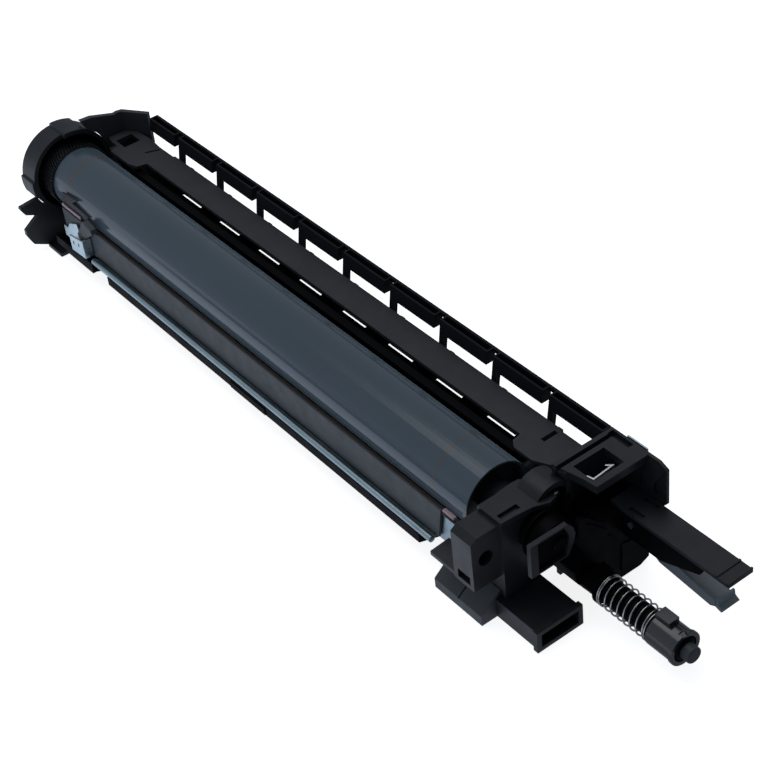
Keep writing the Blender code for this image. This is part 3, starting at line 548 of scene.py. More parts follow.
def turned(name, profile, at=(0, 0), closed=False, steps=32):
    """A profile of (x, radius) points turned about an X axis through (y, z).

    Its points run along the outer side from the +X end to the -X end; a closed one comes back inside.
    """
    mesh = bpy.data.meshes.new(name)
    points = [(radius * MM, 0, x * MM) for x, radius in profile]
    edges = [(i, i + 1) for i in range(len(points) - 1)]
    if closed:
        edges.append((len(points) - 1, 0))
    mesh.from_pydata(points, edges, [])
    solid = link(bpy.data.objects.new(name, mesh))
    screw = solid.modifiers.new("turn", "SCREW")
    screw.steps = screw.render_steps = steps
    screw.use_merge_vertices = True
    screw.merge_threshold = WELD
    solid.rotation_euler = (0, math.pi / 2, 0)
    solid.location = (0, at[0] * MM, at[1] * MM)
    return weld(apply_modifiers(solid))


def combine(target, operation, tools):
    for tool in tools:
        change = target.modifiers.new("shape", "BOOLEAN")
        change.operation = operation
        change.solver = "EXACT"
        change.object = tool
        apply_modifiers(target)
        bpy.data.objects.remove(tool)


def join(target, *tools):
    combine(target, "UNION", tools)


def cut(target, *tools):
    combine(target, "DIFFERENCE", tools)


def repeat(obj, count, step):
    """Copies of one solid along X, kept apart from each other, as one tool for a cut or a union."""
    array = obj.modifiers.new("row", "ARRAY")
    array.count = count
    array.use_relative_offset = False
    array.use_constant_offset = True
    turn = obj.rotation_euler.to_matrix().inverted()
    array.constant_offset_displace = turn @ Vector((step * MM, 0, 0))
    return apply_modifiers(obj)


BODY_OF = {node: body for body, nodes in frame["record"]["behaviour"]["bodies"].items() for node in nodes}
SLOTS = {entry["node"]: entry["material_slot"] for entry in frame["record"]["subparts"]}
SLOTS.update({
    "blade_case": "matte_cover",
    "seal_block_far": "matte_cover",
    "housing_screw": "bright_steel",
    "coupling_hub": "housing_moulding",
    "coupling_floor": "housing_moulding",
    "arm_web": "grip_moulding",
    "pipe_nose": "grey_moulding",
})


def finish(obj, name, smooth=SMOOTH_ANGLE, edge=EDGE):
    """Brings a piece to the world in place of the node with its name, with soft edges and its look."""
    obj.name = name + "_shape"
    obj.data.name = obj.name
    bpy.context.view_layer.update()
    obj.data.transform(Matrix.Translation(ORIGIN) @ obj.matrix_world)
    obj.matrix_world = Matrix()
    if edge:
        bevel = obj.modifiers.new("edges", "BEVEL")
        bevel.width = edge * MM
        bevel.segments = 2
        bevel.limit_method = "ANGLE"
        bevel.angle_limit = EDGE_ANGLE
    obj.data.shade_smooth()
    apply_modifiers(obj)
    obj.data.set_sharp_from_angle(angle=math.radians(smooth))
    weighted = obj.modifiers.new("flat_faces", "WEIGHTED_NORMAL")
    weighted.keep_sharp = True
    slot = SLOTS[name]
    obj.data.materials.clear()
    obj.data.materials.append(LOOKS[LOOK_OF.get(name, slot)])
    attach(obj, BODY_OF.get(name, "frame"))
    if name in NODES:
        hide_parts(name)
    return obj


# Outlines

def arc(centre, radius, start, end, count):
    """Points on an arc from start to end, in degrees, with both ends."""
    points = []
    for i in range(count + 1):
        angle = math.radians(start + (end - start) * i / count)
        points.append((centre[0] + radius * math.cos(angle), centre[1] + radius * math.sin(angle)))
    return points


def ribbon(path, thickness):
    """The outline of a wall of one thickness whose middle follows a path."""
    sides = ([], [])
    for i, here in enumerate(path):
        before = Vector(path[max(i - 1, 0)])
        after = Vector(path[min(i + 1, len(path) - 1)])
        here = Vector(here)
        ahead = (after - here).normalized() if after != here else (here - before).normalized()
        behind = (here - before).normalized() if before != here else ahead
        along = (ahead + behind).normalized()
        normal = Vector((-along.y, along.x))
        reach = thickness / 2 / max(normal.dot(Vector((-ahead.y, ahead.x))), 0.2)
        sides[0].append(tuple(here + normal * reach))
        sides[1].append(tuple(here - normal * reach))
    return sides[0] + sides[1][::-1]


def polar(radius, angle):
    """A point on a circle about the drum axis; the angle is in degrees."""
    return (radius * math.cos(math.radians(angle)), radius * math.sin(math.radians(angle)))


def from_far(*points):
    """An outline whose first numbers are counted from the drum's far end."""
    return [(FAR_X + x, other) for x, other in points]


def hole(radius, at):
    """A round hole for an outline, with its clearance."""
    return arc(at, radius + GAP, 0, 330, 11)


def rail_inner(z):
    """The Y of the inner face of the back rail and its posts, which leans to the drum as it goes down."""
    return RAIL_INNER_Y - RAIL_LEAN * (RAIL_TOP - z)


def post_x(number):
    return FIRST_POST_X + BAY * number


# Long frame

def frame_tray():
    lip = [(LIP_Y, LIP_TOP), (LIP_Y, -26.4), (-9.5, -29.9)]
    trough = arc(PIPE_AT, PIPE_R + TROUGH_SPACE, -90, 0, 6)
    floor = FLOOR_Z - WALL / 2
    wall_y = SIDE_Y - WALL / 2
    far_side = [(PIPE_Y + PIPE_R + TROUGH_SPACE, floor), (wall_y, floor), (wall_y, TRAY_WALL_TOP)]
    tray = prism("tray", "X", ribbon(lip + trough + far_side, WALL), TRAY_FAR_X, TRAY_NEAR_X)

    slot_x = post_x(0) - SLOT_LEAD
    slots = box("slot", (slot_x, slot_x + SLOT_LENGTH), SLOT_Y, (floor - 5, floor + 5))
    rib_x = slot_x + RIB_LEAD
    ribs = box("rib", (rib_x, rib_x + 1.5), RIB_Y, (floor, COVER_TOP - COVER_THICKNESS - GAP))
    lip_end = box("end", (-24, TRAY_NEAR_X + 1), (-25, -11), (-35, -15))
    lip_gap = box("gap", (FAR_X + 36, FAR_X + 50), (-25, -16), (-30, -15))
    cut(tray, lip_end, repeat(slots, POST_COUNT, BAY), lip_gap)

    boss_z = (-29.6, -13.5)
    far_boss = box("boss", (FAR_X + 17, FAR_X + 33), (BOSS_Y, -8.0), boss_z)
    near_boss = box("boss", (-12, 6), (BOSS_Y, -8.0), boss_z)
    far_lip = box("lip", (FAR_X + 12, FAR_X + 35.5), (LIP_Y - 1.0, LIP_Y + 0.7), (-28.0, -24.0))
    pad = box("pad", (FAR_X / 2, FAR_X / 2 + 26), (LIP_Y - 1.3, LIP_Y), (-26.9, -23.6))
    join(tray, repeat(ribs, POST_COUNT - 1, BAY), far_boss, near_boss, far_lip, pad)
    for at in (FAR_SCREW_AT, NEAR_SCREW_AT):
        cut(tray, rod("seat", "Y", BOSS_Y - 1, -10.5, THREAD_R + GAP, at, 16))
    finish(tray, "frame_tray")


def back_rail():
    """A thin bar along the top carries a row of blocks with pockets, and each block has a post below it."""
    near_x = HEAD_X - GAP
    bar_y = (RAIL_Y - BAR_WIDTH, RAIL_Y)
    bar = box("bar", (RAIL_FAR_X, near_x), bar_y, (RAIL_TOP - BAR_HEIGHT, RAIL_TOP))
    outer = RAIL_Y - BAR_WIDTH / 2
    low = RAIL_TOP - RAIL_DEPTH
    block = [(RAIL_INNER_Y, RAIL_TOP), (outer, RAIL_TOP), (outer, low), (rail_inner(low), low)]
    block_length = BAY - WINDOW_WIDTH
    foot = TRAY_WALL_TOP + GAP
    post = [(rail_inner(14), 14), (rail_inner(14) + 2.4, 14), (rail_inner(2) + 2.4, 2), (SIDE_Y, 1),
            (SIDE_Y, foot), (rail_inner(foot), foot)]
    pocket_y = (RAIL_INNER_Y + RAIL_RIM, RAIL_Y - BAR_WIDTH)
    pocket_z = (RAIL_TOP - POCKET_DEPTH, RAIL_TOP + 1)

    bays = POST_COUNT - 1
    stretches = ((post_x(0), post_x(0) + block_length), (RAIL_FAR_X, post_x(0) - WINDOW_WIDTH),
                 (post_x(bays), near_x))
    blocks = [prism("block", "X", block, *stretch) for stretch in stretches]
    pockets = [box("pocket", (far + RAIL_RIM, near - RAIL_RIM), pocket_y, pocket_z)
               for far, near in stretches]
    repeat(blocks[0], bays, BAY)
    repeat(pockets[0], bays, BAY)
    posts = prism("post", "X", post, post_x(0), post_x(0) + POST_WIDTH)
    join(bar, *blocks, repeat(posts, POST_COUNT, BAY))
    cut(bar, *pockets)
    finish(bar, "back_rail")


# Drum ends

def gear_outline(facing):
    """Teeth with slanted flanks; the middle of one tooth stands at the angle that the gear faces."""
    root = GEAR_R - TOOTH_HEIGHT
    points = []
    for i in range(GEAR_TEETH):
        for share, radius in ((0.35, root), (0.5, GEAR_R), (0.7, GEAR_R), (0.85, root)):
            angle = facing + 2 * math.pi * (i + share - TOOTH_CENTRE) / GEAR_TEETH
            points.append((radius * math.cos(angle), radius * math.sin(angle)))
    return points


def drum_gear():
    """The twist modifier slants the teeth; one faces the waste screw where its gear meets them."""
    slant = math.tan(GEAR_HELIX) / GEAR_R
    facing = math.atan2(PIPE_Y, -PIPE_Z) - slant * (MESH_X - GEAR_MIDDLE_X)
    gear = prism("gear", "Z", gear_outline(facing), -GEAR_WIDTH / 2, GEAR_WIDTH / 2)
    twist = gear.modifiers.new("slant", "SIMPLE_DEFORM")
    twist.deform_method = "TWIST"
    twist.deform_axis = "Z"
    twist.angle = slant * GEAR_WIDTH
    apply_modifiers(gear)
    gear.rotation_euler = (0, math.pi / 2, 0)
    gear.location = (GEAR_MIDDLE_X * MM, 0, 0)
    near_x = FAR_X - GAP
    spigot = rod("spigot", "X", near_x - 4, near_x + 10, DRUM_R - TUBE_WALL - GAP, sides=48)
    far_hub = rod("hub", "X", near_x - GEAR_WIDTH - 1.5, near_x - 4, FLANGE_HUB_R)
    join(gear, spigot, far_hub)
    cut(gear, rod("bore", "X", near_x - 20, near_x + 20, SHAFT_R + GAP, sides=24))
    finish(gear, "drum_gear", 25)


def drum_flange():
    outer = DRUM_R - TUBE_WALL - GAP
    bore = SHAFT_R + GAP
    profile = [(HUB_X, FLANGE_HUB_R), (-4, FLANGE_HUB_R), (-4, outer), (-14, outer), (-14, outer - 1.5),
               (-6, outer - 1.5), (-6, 5), (-14, 5), (-14, bore), (HUB_X, bore)]
    finish(turned("flange", profile, closed=True), "drum_flange")


# Blade side

def blade_holder():
    """The leg stands behind the case, and its flange ends in the round bright bead."""
    far = FAR_X + 10
    near = NEAR_SCREW_AT[0] + 8
    outline = [(far, -21.4), (near, -21.4), (near, -8), (far, -8)]
    leg = prism("leg", "Y", outline, LEG_Y - LEG_THICKNESS, LEG_Y,
                holes=[hole(THREAD_R, FAR_SCREW_AT), hole(THREAD_R, NEAR_SCREW_AT)])
    bead_far = FAR_X + 35.5
    bead_near = -17
    y, z = BEAD_AT
    flange = box("flange", (bead_far + BEAD_R, bead_near - 0.5), (y, LEG_Y - 0.4), (z - 0.6, z + 0.6))
    profile = [(bead_near, 0), (bead_near, BEAD_R)]
    profile += [(bead_far + BEAD_R + a, r) for a, r in arc((0, 0), BEAD_R, 90, 180, 4)]
    bead = turned("bead", profile, BEAD_AT, steps=16)
    join(leg, flange, bead)
    finish(leg, "blade_holder")


def blade_case():
    """The dark strip outside the holder, with a hooked corner above the earth clip."""
    outline = from_far((10, -19.6)) + [(-14.9, -19.6), (-12, -4)] + from_far((10, -4))
    case = prism("case", "Y", outline, CASE_Y - CASE_THICKNESS, CASE_Y,
                 holes=[hole(THREAD_R, FAR_SCREW_AT)])
    hook = from_far((26.8, -9.8), (35.5, 1.0), (42.3, -0.8), (43.1, -2.9), (28.9, -13.0))
    join(case, prism("hook", "Y", hook, CASE_Y - 3.8, CASE_Y - 0.6))
    finish(case, "blade_case")


def cleaning_blade():
    lip = [(BOSS_Y, -12.9), (BOSS_Y + 1.4, -12.9), (-13.9, -6.7), (BOSS_Y, -7.6)]
    finish(prism("blade", "X", lip, FAR_X + 8, -6), "cleaning_blade")


def blade_screw(name, at, head_y, height):
    screw = rod(name, "Y", head_y - height, head_y, SCREW_HEAD_R, at, 8)
    join(screw, rod("thread", "Y", head_y - height / 2, -11, THREAD_R, at, 12))
    finish(screw, name)


def earth_clip():
    """A bent bracket: a foot below the screw, a side wall, and a front face that stands off."""
    foot = from_far((10, -19.2), (34.6, -19.2), (34.6, -13.5), (28.1, -13.5), (26, -11.5), (24.8, -6.2),
                    (16.6, -9.7), (14, -13.4), (10, -13.4))
    clip = prism("foot", "Y", foot, CLIP_Y - CLIP_THICKNESS, CLIP_Y,
                 holes=[hole(THREAD_R, FAR_SCREW_AT)])
    side_x = FAR_X + 35
    side = box("side", (side_x - CLIP_THICKNESS, side_x), (CLIP_FRONT_Y + 0.2, CLIP_Y - 0.1), (-19.0, -9.4))
    face = from_far((22, -19.9), (34.9, -19.1), (34.9, -9.6), (22, -11.7))
    marks = [from_far((x, z), (x + 1.2, z - 0.1), (x + 1.3, z + 2), (x + 0.1, z + 2.1))
             for x, z in ((24.5, -15.6), (29.5, -14.7))]
    front = prism("face", "Y", face, CLIP_FRONT_Y, CLIP_FRONT_Y + CLIP_THICKNESS, holes=marks)
    join(clip, side, front)
    finish(clip, "earth_clip")


def end_seal(name, x, y, z):
    finish(box(name, x, y, z), name)


def seal_block():
    """The block that holds the felt against the drum's far end."""
    outline = from_far((10.9, 3.9), (25.4, 5.6), (19.6, 1.9), (34.2, 0.2), (25.8, -5.9), (8.2, -4.6))
    block = prism("block", "Y", outline, LEG_Y - LEG_THICKNESS, LEG_Y)
    finish(block, "seal_block_far")


# Cover

def charge_cover():
    """A flat plate with a tab at each end, a square hole and two slots; it stands on two seats."""
    plate = from_far((-7.8, 21.6), (-4, 20.6), (2, 20.3), (4, 15.8), (20, 15.8), (25.2, 17.4),
                     (26.6, COVER_Y))
    plate += [(-12.6, COVER_Y), (-11.9, 18.1), (-8.6, 15.8), (1.5, 15.8), (9.0, 19.4), (9.0, 34.6),
              (-2.9, 34.6), (-3.4, 35.3)]
    plate += from_far((31.2, 35.3), (30.4, 34.4), (19.6, 34.4), (9.5, 35.4), (-1.8, 34.5), (-7.8, 30.5))
    square = from_far((-2.4, 22.4), (6, 22.4), (6, 31.2), (-2.4, 31.2))
    far_slot = from_far((17.0, 26.6), (18.2, 26.7), (21.0, 33.2), (19.8, 33.3))
    near_slot = [(-5.2, 26.0), (-3.2, 26.0), (-3.2, 33.0), (-5.2, 33.0)]
    under = COVER_TOP - COVER_THICKNESS
    made = prism("cover", "Z", plate, under, COVER_TOP, holes=[square, far_slot, near_slot])
    for low, high in ((FAR_X + 8, FAR_X + 23), (-9, 1)):
        join(made, box("seat", (low, high), (16.6, 19.4), (6.0 + GAP, under + 0.5)))
    finish(made, "charge_cover")


# Front end

def bearing_bore():
    return rod("bore", "X", WALL_X - 4, HUB_FACE_X + 1, BEARING_R)


def front_housing():
    """The hollow bulkhead with the beam above, the round hump, the left block and the bearing's boss."""
    wall = [(-16.1, -26.3), (-16.1, BEAM_TOP - 1), (10, BEAM_TOP - 1), (10, -11.6), (4.6, -17.6),
            (-4.2, -26.3)]
    housing = prism("wall", "X", wall, BEAM_X, BEAM_FRONT_X)
    hollow = [(-13, -23.6), (-13, BEAM_TOP - 3), (8, BEAM_TOP - 3), (8, -10.8), (2.6, -16.8), (-5, -23.6)]
    cut(housing, prism("hollow", "X", hollow, BEAM_X - 1, HUMP_FLOOR_X))
    beam = [(8.8, -16.3), (8.8, -8), (8.0, 0), (8.3, 3.3), (10.4, 5.5), (15.7, 5.7), (18.2, 7.9),
            (21.6, 7.8), (24.5, 7.4), (25.4, 3.7), (23.0, -2.2), (22.1, -10), (21.8, -16.3)]
    top = prism("beam", "Z", beam, BEAM_TOP - 2.4, BEAM_TOP)
    hump = rod("hump", "X", BEAM_X + 0.4, HUMP_FACE_X, HUMP_R, HUMP_AT, 48)
    hump_bore = rod("bore", "X", HUMP_FLOOR_X, HUMP_FACE_X + 4, HUMP_R - 2.3, HUMP_AT, 40)
    bearing_boss = rod("boss", "X", WALL_X, HUMP_FLOOR_X + 0.5, BEARING_R + 2.5)
    slot = box("slot", (17.6, 20.2), (-14.7, -5.7), (BEAM_TOP - 1.5, 13))
    block = prism("block", "X", [(-29, -15), (-14, -15), (-14, 10), (-26, 10), (-29, 8)], 8.7, 20)
    block_hole = rod("hole", "X", 12, 21, 3.3, (-22.7, -1.7), 24)
    clip_gap = box("gap", (11, 18), (-30, -27), (-13, -9))
    thread_hole = rod("hole", "X", BEAM_X - 1, HUMP_FACE_X, THREAD_R + GAP, HOUSING_SCREW_AT, 12)
    join(housing, hump)
    cut(housing, hump_bore)
    foot = box("foot", (BEAM_X + 0.5, 18.7), (-16.1, -9), (-34, -26))
    join(housing, top, bearing_boss, block, foot)
    cut(housing, slot, block_hole, clip_gap, thread_hole, bearing_bore())
    finish(housing, "front_housing")


def coupling_hub():
    """The round hub and its collar behind the coupling cover."""
    hub = rod("hub", "X", HUMP_FLOOR_X + 0.1, HUB_FACE_X, HUB_R, sides=48)
    join(hub, rod("collar", "X", *HUB_COLLAR_X, HUB_R + 2, sides=48))
    cut(hub, bearing_bore())
    finish(hub, "coupling_hub")


def housing_screw():
    """The bright screw that stands in the bore of the hump."""
    face = HUMP_FLOOR_X + GAP
    profile = [(face + 1.6, 0), (face + 1.6, 1.4), (face + 1.1, 2.2), (face, 2.2), (face, THREAD_R),
               (12.5, THREAD_R), (12.5, 0)]
    finish(turned("screw", profile, HOUSING_SCREW_AT, steps=16), "housing_screw")


COUPLING_OPENING = ((-10.8, -6.4), (2.2, -6.4), (3.0, -2.0), (3.7, 1.7), (2.9, 4.8), (1.4, 7.4),
                    (-10.8, 7.4))


def coupling_cover():
    """A rim with a cut corner round the end of the shaft."""
    outline = [(-14.3, -7.2), (3.3, -7.2), (5.8, -2.0), (6.7, 1.7), (5.7, 5.3), (3.2, 8.2), (-14.3, 8.2)]
    plate = prism("cover", "X", outline, HUB_FACE_X + GAP, PANEL_X)
    cut(plate, prism("opening", "X", COUPLING_OPENING, HUB_FACE_X - 1, PANEL_X + 1))
    finish(plate, "coupling_cover")


def coupling_floor():
    """The thin plate at the back of the opening in the coupling cover."""
    inner = [(y * 0.98, z * 0.98) for y, z in COUPLING_OPENING]
    low = HUB_FACE_X + GAP
    finish(prism("floor", "X", inner, low, low + 0.6), "coupling_floor", edge=0)


def front_spaces():
    """What the head and the panel leave clear: the hump, the coupling and the waste pipe."""
    return (rod("space", "X", BEAM_X - 1, HUMP_FACE_X + GAP, HUMP_R + GAP, HUMP_AT, 48),
            rod("space", "X", BEAM_X - 1, HUB_FACE_X + GAP, CLEAR_R, sides=64),
            rod("space", "X", HEAD_X - 1, PANEL_X + 2, PIPE_R + GAP, PIPE_AT, 24))


def head_frame():
    plan = [(HEAD_X, HEAD_Y), (30, 15.3), (HEAD_FRONT_X, 16), (HEAD_FRONT_X, RAIL_Y), (HEAD_X, RAIL_Y)]
    window = [(22.8, 17.3), (33.5, 17.3), (33.5, 32), (22.8, 32)]
    head = prism("slab", "Z", plan, RAIL_TOP - HEAD_SLAB, RAIL_TOP, holes=[window])
    back = box("back", (HEAD_X, HEAD_BACK_X), (HEAD_Y, RAIL_Y), (BASE_Z, RAIL_TOP - 1))
    side = [(HEAD_X, -1.3), (44, -1.3), (46, 1), (46, 17.2), (42, RAIL_TOP), (HEAD_X, RAIL_TOP)]
    slant = [(32.0, 1.0), (33.2, 1.0), (35.4, 15.6), (33.6, 15.6)]
    sunk = [(39.7, 2.4), (44.6, 1.4), (44.6, 15.0), (39.7, 6.8)]
    right = prism("side", "Y", side, RAIL_Y - 1.3, RAIL_Y)
    left = box("left", (HEAD_X, 23), (13.4, 15.8), (8, RAIL_TOP - 1))
    groove = box("groove", (HEAD_BACK_X, HEAD_X + 4), (HEAD_Y - 1, 41), (RAIL_TOP - 2.2, RAIL_TOP + 1))
    recess = box("recess", (HEAD_X + 1.5, 29), (38.2, 40.9), (RAIL_TOP - 2.2, RAIL_TOP + 1))
    join(head, back, right, left)
    for outline in (slant, sunk):
        cut(head, prism("sunk", "Y", outline, RAIL_Y - 2, RAIL_Y - 0.5))
    cut(head, groove, recess, *front_spaces())
    finish(head, "head_frame")


def front_panel():
    top = ARM_TOP - ARM_THICKNESS - GAP
    outline = [(8.0, 5.0), (9.5, 6.6), (12.0, 5.6), (19.5, top), (42.5, top), (42.5, -34), (38, BASE_Z),
               (14.5, BASE_Z), (6.2, -23.5), (5.5, -18), (11, -12), (8.0, -6)]
    panel = prism("panel", "X", outline, HEAD_BACK_X + GAP, PANEL_X)
    hollow = [(13.5, top - 2), (13.5, -13), (20.5, -13), (20.5, -32), (38, -32), (40.5, top - 2)]
    cut(panel, prism("hollow", "X", hollow, HEAD_X, PANEL_X - 2.2))
    for path in ([(12.4, 2.3), (21.6, -6.7)],
                 [(23, -10.2), (28.8, -18.7), (33.3, -19.7), (33.9, -10.9)],
                 [(28.8, -18.9), (28.5, -32.1)]):
        join(panel, prism("ridge", "X", ribbon(path, RIDGE_WIDTH), PANEL_X - 1, PANEL_X + RIDGE_HEIGHT))
    cut(panel, *front_spaces())
    finish(panel, "front_panel")


def base_shoe():
    outline = [(-26, BASE_Z), (-26, BASE_Z + 4.8), (-16.3, BASE_Z + 12.7), (-16.3, BASE_Z)]
    shoe = prism("shoe", "X", outline, -9, 18.6)
    seam = box("seam", (5, 5.5), (-27, -14), (BASE_Z + 4.2, BASE_Z + 20))
    hollow = [(-23.8, BASE_Z + 1.8), (-23.8, BASE_Z + 4), (-18.2, BASE_Z + 8.6), (-18.2, BASE_Z + 1.8)]
    cut(shoe, prism("hollow", "X", hollow, -12, 16), seam)
    finish(shoe, "base_shoe")


def wing_guide():
    outline = [(-27.2, -15.4), (-27.2, -17.4), (-18, -20.8), (-18, -14.6)]
    finish(prism("wing", "X", outline, -8, 8.4), "wing_guide")


def duct_box():
    outer = [(-18.9, BASE_Z + 0.6), (1.6, BASE_Z + 0.6), (1.6, -26.6), (-18.9, -26.6)]
    rim = [(-19.7, BASE_Z), (2.4, BASE_Z), (2.4, -26.0), (-19.7, -26.0)]
    inside = [(-17.5, BASE_Z + 2), (0.2, BASE_Z + 2), (0.2, -28), (-17.5, -28)]
    duct = prism("duct", "X", outer, 19, 42.5)
    join(duct, prism("rim", "X", rim, 40.0, 42.5))
    cut(duct, prism("inside", "X", inside, 22, 45))
    finish(duct, "duct_box")


def grip_arm():
    plan = [(29.5, ARM_Y[0]), (ARM_TIP_X, ARM_Y[0]), (ARM_TIP_X, ARM_Y[1]), (29.5, ARM_Y[1])]
    arm = prism("arm", "Z", plan, ARM_TOP - ARM_THICKNESS, ARM_TOP)
    ridge = box("ridge", (82.0, 83.0), ARM_Y, (ARM_TOP - 0.5, ARM_TOP + 0.5))
    lip = box("lip", (ARM_TIP_X - 0.8, ARM_TIP_X), ARM_Y, (ARM_TOP - 0.5, ARM_TOP + 0.7))
    join(arm, ridge, lip)
    for y in ARM_SLOTS:
        cut(arm, box("slot", (37.5, 44.5), (y, y + 1.8), (ARM_TOP - 1.2, ARM_TOP + 1)))
    finish(arm, "grip_arm")


def arm_web():
    """The upright plate below the arm, with the hole for the lever's pin."""
    under = ARM_TOP - ARM_THICKNESS
    side = [(PANEL_X + GAP, under), (PANEL_X + GAP, -12.5), (55, -12.6), (74.5, -5.4), (76.5, under)]
    web = prism("web", "Y", side, ARM_Y[0], ARM_Y[0] + WEB_THICKNESS, holes=[hole(PIN_R, LEVER_AT)])
    finish(web, "arm_web")


def release_lever():
    side = arc(LEVER_AT, LEVER_BOSS_R, 60, 240, 8)
    side += [(53, -16.3), (78.1, -18.9), (80.4, -17.8), (80.4, -15.2), (62.8, -12.0)]
    lever = prism("side", "Y", side, LEVER_Y[0], LEVER_Y[0] + LEVER_THICKNESS, holes=[hole(PIN_R, LEVER_AT)])
    plate = [(53, -16.3), (79.6, -18.1), (83.2, -19.2), (83.9, -18.3), (81.7, -16.9), (81.4, -14.6),
             (80.5, -14.6), (80.2, -16.7), (53, -15.1)]
    join(lever, prism("plate", "Y", plate, LEVER_Y[0] + 0.4, LEVER_Y[1]))
    finish(lever, "release_lever")


def wire(name, points, radius):
    """A round wire through points given in millimetres."""
    curve = bpy.data.curves.new(name, "CURVE")
    curve.dimensions = "3D"
    curve.bevel_depth = radius * MM
    curve.bevel_resolution = 2
    curve.use_fill_caps = True
    spline = curve.splines.new("POLY")
    spline.points.add(len(points) - 1)
    for point, (x, y, z) in zip(spline.points, points):
        point.co = (x * MM, y * MM, z * MM, 1)
    drawn = link(bpy.data.objects.new(name, curve))
    bpy.context.view_layer.update()
    solid = link(bpy.data.objects.new(name, evaluated_mesh(drawn)))
    bpy.data.objects.remove(drawn)
    return weld(solid)


def window_contact():
    path = [(27.5, 19.2), (30.6, 19.9), (29.8, 29.8), (27.9, 27.7)]
    finish(prism("leaf", "Z", ribbon(path, 0.8), 12.5, 16.6), "window_contact")


def side_contact():
    outline = [(24, 6), (34.5, 6), (34.5, RAIL_TOP + 0.3), (24, RAIL_TOP + 0.3)]
    plate = prism("plate", "Y", outline, RAIL_Y + GAP, RAIL_Y + GAP + 0.7)
    finish(plate, "side_contact")


# Waste pipe

def waste_pipe():
    """The tube with the collar that the spring stands on, and an outlet below that the shutter covers."""
    collar_r = PIPE_R + 1.4
    far = TRAY_NEAR_X + 0.6
    inner_end = SHUTTER_END - 1.5
    profile = [(PIPE_END, 0), (PIPE_END, 4.4), (SHUTTER_END - 0.5, PIPE_R), (COLLAR_NEAR_X, PIPE_R),
               (COLLAR_NEAR_X, collar_r), (COLLAR_X, collar_r), (COLLAR_X, PIPE_R), (far, PIPE_R),
               (far, PIPE_BORE), (inner_end, PIPE_BORE), (inner_end, 0)]
    pipe = turned("pipe", profile, PIPE_AT)
    lug = box("lug", (COLLAR_X - 5, COLLAR_X + 0.5), (PIPE_Y - 1, PIPE_Y + 4), (PIPE_Z + 4.6, PIPE_Z + 6.8))
    outlet = box("outlet", (SHUTTER_X + 2, SHUTTER_END - 3), (PIPE_Y - 2.5, PIPE_Y + 2.5),
                 (PIPE_Z - 7, PIPE_Z - 2))
    join(pipe, lug)
    cut(pipe, outlet)
    finish(pipe, "waste_pipe")


def pipe_nose():
    """The round grey end of the pipe, in front of the shutter."""
    start = PIPE_END + WELD / MM
    profile = [(start + 4.2, 0), (start + 4.2, 2.9), (start + 3.7, 3.4), (start, 3.4), (start, 0)]
    finish(turned("nose", profile, PIPE_AT), "pipe_nose")


def pipe_shutter():
    """The sleeve that slides on the pipe, with a rim, a lug on top and a notch in the rim."""
    bore = PIPE_R + GAP
    rim_r = SHUTTER_R + 0.5
    rim_x = SHUTTER_END - 1.6
    profile = [(SHUTTER_END, rim_r), (rim_x, rim_r), (rim_x, SHUTTER_R), (SHUTTER_X, SHUTTER_R),
               (SHUTTER_X, bore), (SHUTTER_END, bore)]
    sleeve = turned("sleeve", profile, PIPE_AT, closed=True)
    lug = box("lug", (SHUTTER_X, SHUTTER_X + 7), (PIPE_Y - 1.6, PIPE_Y + 3.4), (PIPE_Z + 5.9, PIPE_Z + 8.8))
    notch = box("notch", (SHUTTER_END - 2.4, SHUTTER_END + 1), (PIPE_Y - 1.2, PIPE_Y + 1.2),
                (PIPE_Z + 6.2, PIPE_Z + 9))
    join(sleeve, lug)
    cut(sleeve, notch)
    finish(sleeve, "pipe_shutter")


def pipe_spring():
    """An open coil with closed turns at both ends, between the collar and the shutter."""
    low = COLLAR_NEAR_X + GAP + WIRE_R
    high = SHUTTER_X - GAP - WIRE_R
    closed_turns = 1.5
    open_turns = 7
    per_turn = 32
    total = int((open_turns + 2 * closed_turns) * per_turn)
    closed_rise = 2 * WIRE_R + 0.1
    open_rise = (high - low - 2 * closed_turns * closed_rise) / open_turns
    x = low
    points = []
    for i in range(total + 1):
        turn = i / per_turn
        angle = 2 * math.pi * turn
        points.append((x, PIPE_Y + SPRING_R * math.cos(angle), PIPE_Z + SPRING_R * math.sin(angle)))
        is_open = closed_turns <= turn < closed_turns + open_turns
        x += (open_rise if is_open else closed_rise) / per_turn
    spring = finish(wire("spring", points, WIRE_R), "pipe_spring", 60, 0)
    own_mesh(spring)


# Rear end

def rear_shell():
    """The round cover of the gear, with a raised lug above and a thicker stretch at its left."""
    back = SHELL_X + 1.8
    profile = [(SHELL_FRONT_X, SHELL_R), (SHELL_X, SHELL_R), (SHELL_X, BEARING_R), (back, BEARING_R),
               (back, SHELL_BORE), (SHELL_FRONT_X, SHELL_BORE)]
    shell = turned("shell", profile, closed=True, steps=64)
    middle_r = (SHELL_BORE + SHELL_R) / 2
    lug = arc((0, 0), SHELL_R + 1.2, 94, 66, 6) + arc((0, 0), middle_r, 60, 96, 8)
    pad = arc((0, 0), SHELL_R + 1.1, 196, 174, 4) + arc((0, 0), middle_r, 172, 197, 5)
    join(shell, prism("lug", "X", lug, SHELL_X + 0.3, SHELL_FRONT_X + 3.0),
         prism("pad", "X", pad, SHELL_X + 0.3, SHELL_FRONT_X - 0.4))
    finish(shell, "rear_shell")


